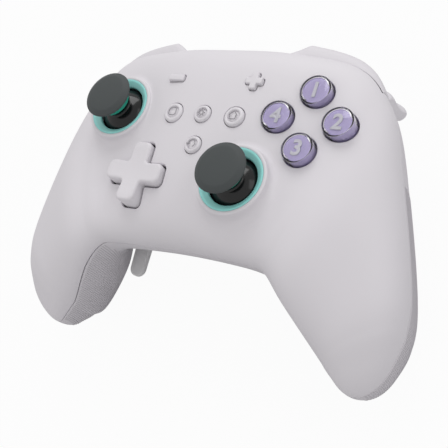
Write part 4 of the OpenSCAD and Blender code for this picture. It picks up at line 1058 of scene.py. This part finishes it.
# Rear paddles
# Flat moulded levers under the middle fingers, in a darker grey. Each turns on a steel pin between the
# ears of the rear shell and stands a little off the back.
paddle_length, paddle_thick, droop = 31.0, 2.4, math.radians(7)
tip_radius = 3.1
blade = [(hub_width / 2, -4.0), (hub_width / 2, 0.0), (-hub_width / 2, 0.0), (-hub_width / 2, -4.0)]
blade += [(tip_radius * math.cos(a), tip_radius - paddle_length + tip_radius * math.sin(a))
          for a in np.linspace(math.pi, 2 * math.pi, 31)]
blade = np.array(blade)
# The paddle grey is lighter than the paddles' own darker grey: painted light that makes up for the shade they
# get under the body.
paddle_grey_and_painted_light = moulded_plastic("paddle_grey_and_painted_light", from_screen(206, 206, 207), 0.5)
for name, sign in (("left_paddle", -1), ("right_paddle", 1)):
    out = outward(blade)
    rings = []
    low, high, ease = -paddle_thick / 2 - 0.4, paddle_thick / 2 - 0.4, 0.55
    for a in np.linspace(-math.pi / 2, 0, 6):
        rings.append(at_height(blade - out * ease * (1 - math.cos(a)), low + ease * (1 + math.sin(a))))
    for a in np.linspace(0, math.pi / 2, 6):
        rings.append(at_height(blade - out * ease * (1 - math.cos(a)), high - ease * (1 - math.sin(a))))
    x, y, z = np.vstack(rings).T
    c, s = math.cos(droop), math.sin(droop)
    points = np.column_stack([x, c * y - s * z, s * y + c * z])
    middle = paddle_pin * [sign, 1, 1]
    paddle = made_piece(f"{name}_blade", points * [sign, 1, 1] + middle, capped_faces(len(rings), len(blade)))
    hub = round_rod("paddle_hub", 2.1, middle - [hub_width / 2, 0, 0], middle + [hub_width / 2, 0, 0])
    paddle = joined(paddle, hub)
    paddle.data.materials.append(paddle_grey_and_painted_light)
    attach(paddle, name)
    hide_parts(name)


# Case screws
# Five small blackened steel screws with a cross recess hold the two shells together from the back.
# They sit deep in their holes.
def worked_metal(name, colour, roughness, streak=600.0):
    """Plain worked metal with fine streaks in its polish."""
    material, tree, shader = new_finish(name)
    shader.inputs["Metallic"].default_value = 1.0
    where = node(tree, "ShaderNodeTexCoord")
    stretch = node(tree, "ShaderNodeMapping", Scale=(1.0, 1.0, 8.0))
    streaks = node(tree, "ShaderNodeTexNoise", Scale=streak)
    tone = node(tree, "ShaderNodeMix", {"data_type": "RGBA"},
                A=(*(v * 0.92 for v in colour), 1.0), B=(*(min(1.0, v * 1.08) for v in colour), 1.0))
    polish = node(tree, "ShaderNodeMapRange", To_Min=roughness - 0.06, To_Max=roughness + 0.06)
    linked(tree, (where, "Object", stretch, "Vector"), (stretch, "Vector", streaks, "Vector"),
           (streaks, "Fac", tone, "Factor"), (tone, "Result", shader, "Base Color"),
           (streaks, "Fac", polish, "Value"), (polish, "Result", shader, "Roughness"))
    return material


def screw_tree(material):
    """Geometry Nodes that set a screw, with its cross recess, on every point."""
    tree = bpy.data.node_groups.new("case_screw_row", "GeometryNodeTree")
    tree.interface.new_socket("Seats", in_out="INPUT", socket_type="NodeSocketGeometry")
    inputs = {}
    for label in ("Head radius", "Head height", "Shank radius", "Shank length"):
        socket = tree.interface.new_socket(label, in_out="INPUT", socket_type="NodeSocketFloat")
        inputs[label] = socket.identifier
    tree.interface.new_socket("Screws", in_out="OUTPUT", socket_type="NodeSocketGeometry")
    given = node(tree, "NodeGroupInput")
    result = node(tree, "NodeGroupOutput")

    def moved(shape, height):
        shift = node(tree, "ShaderNodeCombineXYZ")
        move = node(tree, "GeometryNodeTransform")
        linked(tree, (height, 0, shift, "Z"), (shape, "Mesh", move, "Geometry"),
               (shift, 0, move, "Translation"))
        return move

    def scaled(label, factor):
        times = node(tree, "ShaderNodeMath", {"operation": "MULTIPLY"})
        times.inputs[1].default_value = factor
        linked(tree, (given, label, times, 0))
        return times

    head = node(tree, "GeometryNodeMeshCylinder", Vertices=40)
    recess = node(tree, "GeometryNodeMeshBoolean", {"operation": "DIFFERENCE"})
    linked(tree, (given, "Head radius", head, "Radius"), (given, "Head height", head, "Depth"),
           (moved(head, scaled("Head height", -0.5)), 0, recess, "Mesh 1"))
    for long, short in ((1.3, 0.32), (0.32, 1.3)):
        bar = node(tree, "GeometryNodeMeshCube")
        size = node(tree, "ShaderNodeCombineXYZ")
        linked(tree, (scaled("Head radius", long), 0, size, "X"), (scaled("Head radius", short), 0, size, "Y"),
               (given, "Head height", size, "Z"), (size, 0, bar, "Size"),
               (moved(bar, scaled("Head height", -1.0)), 0, recess, "Mesh 2"))
    shank = node(tree, "GeometryNodeMeshCylinder", Vertices=24)
    whole = node(tree, "GeometryNodeJoinGeometry")
    spread = node(tree, "GeometryNodeInstanceOnPoints")
    real = node(tree, "GeometryNodeRealizeInstances")
    paint = node(tree, "GeometryNodeSetMaterial", Material=material)
    linked(tree, (given, "Shank radius", shank, "Radius"), (given, "Shank length", shank, "Depth"),
           (recess, "Mesh", whole, 0), (moved(shank, scaled("Shank length", 0.5)), 0, whole, 0),
           (given, "Seats", spread, "Points"), (whole, 0, spread, "Instance"),
           (spread, "Instances", real, "Geometry"), (real, "Geometry", paint, "Geometry"),
           (paint, "Geometry", result, "Screws"))
    return tree, inputs


screw_black = worked_metal("screw_black", (0.09, 0.09, 0.095), 0.42)
screw_nodes, screw_inputs = screw_tree(screw_black)
seats = bpy.data.meshes.new("case_screw_set")
seat_points = np.array([(*spot, z) for spot, z in zip(screw_spots, screw_seats)])
seats.from_pydata(in_metres(seat_points), [], [])
screws = bpy.data.objects.new("case_screw_set", seats)
scene.collection.objects.link(screws)
row = screws.modifiers.new("screws", "NODES")
row.node_group = screw_nodes
row[screw_inputs["Head radius"]] = head_radius * MM
row[screw_inputs["Head height"]] = head_height * MM
row[screw_inputs["Shank radius"]] = 1.35 * MM
row[screw_inputs["Shank length"]] = 8.0 * MM
settled(screws)
shade(screws)
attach(screws, "body")
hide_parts("case_screws")


# Inside parts
# What the shells hide: the stick housings, frames and rocker in black nylon, silicone mats, the board,
# the cell, the motors and the steel pins and springs. Their solids are shown as they are.
def dressed(material, *names):
    """Gives solids of the frame a finish."""
    for name in names:
        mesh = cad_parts[name].data
        mesh.materials.clear()
        mesh.materials.append(material)


both = ("left", "right")
nylon = moulded_plastic("black_nylon", from_screen(38, 38, 40), 0.5)
dressed(nylon, "cross_pad_rocker", *(f"{s}_{p}" for s in both for p in (
    "shoulder_frame", "stick_module", "stick_yoke")))
silicone = moulded_plastic("grey_silicone", from_screen(170, 170, 172), 0.6, depth=0.00002)
dressed(silicone, "cross_pad_membrane", "face_membrane", "menu_membrane")
bright_steel = worked_metal("bright_steel", (0.56, 0.57, 0.59), 0.28)
dressed(bright_steel, "usb_port", *(f"{s}_{p}" for s in both for p in (
    "trigger_pin", "trigger_spring", "stick_shaft", "paddle_pin")))
motor_can = worked_metal("motor_can", (0.5, 0.51, 0.53), 0.34)
dressed(motor_can, "left_motor", "right_motor")
sintered = worked_metal("sintered_weight", (0.28, 0.28, 0.3), 0.5)
dressed(sintered, "left_motor_weight", "right_motor_weight")
board_green = moulded_plastic("board_green", from_screen(24, 84, 52), 0.35, grain=0.0005)
dressed(board_green, "main_board")
cell_wrap = moulded_plastic("cell_wrap", from_screen(52, 56, 62), 0.4)
dressed(cell_wrap, "battery")
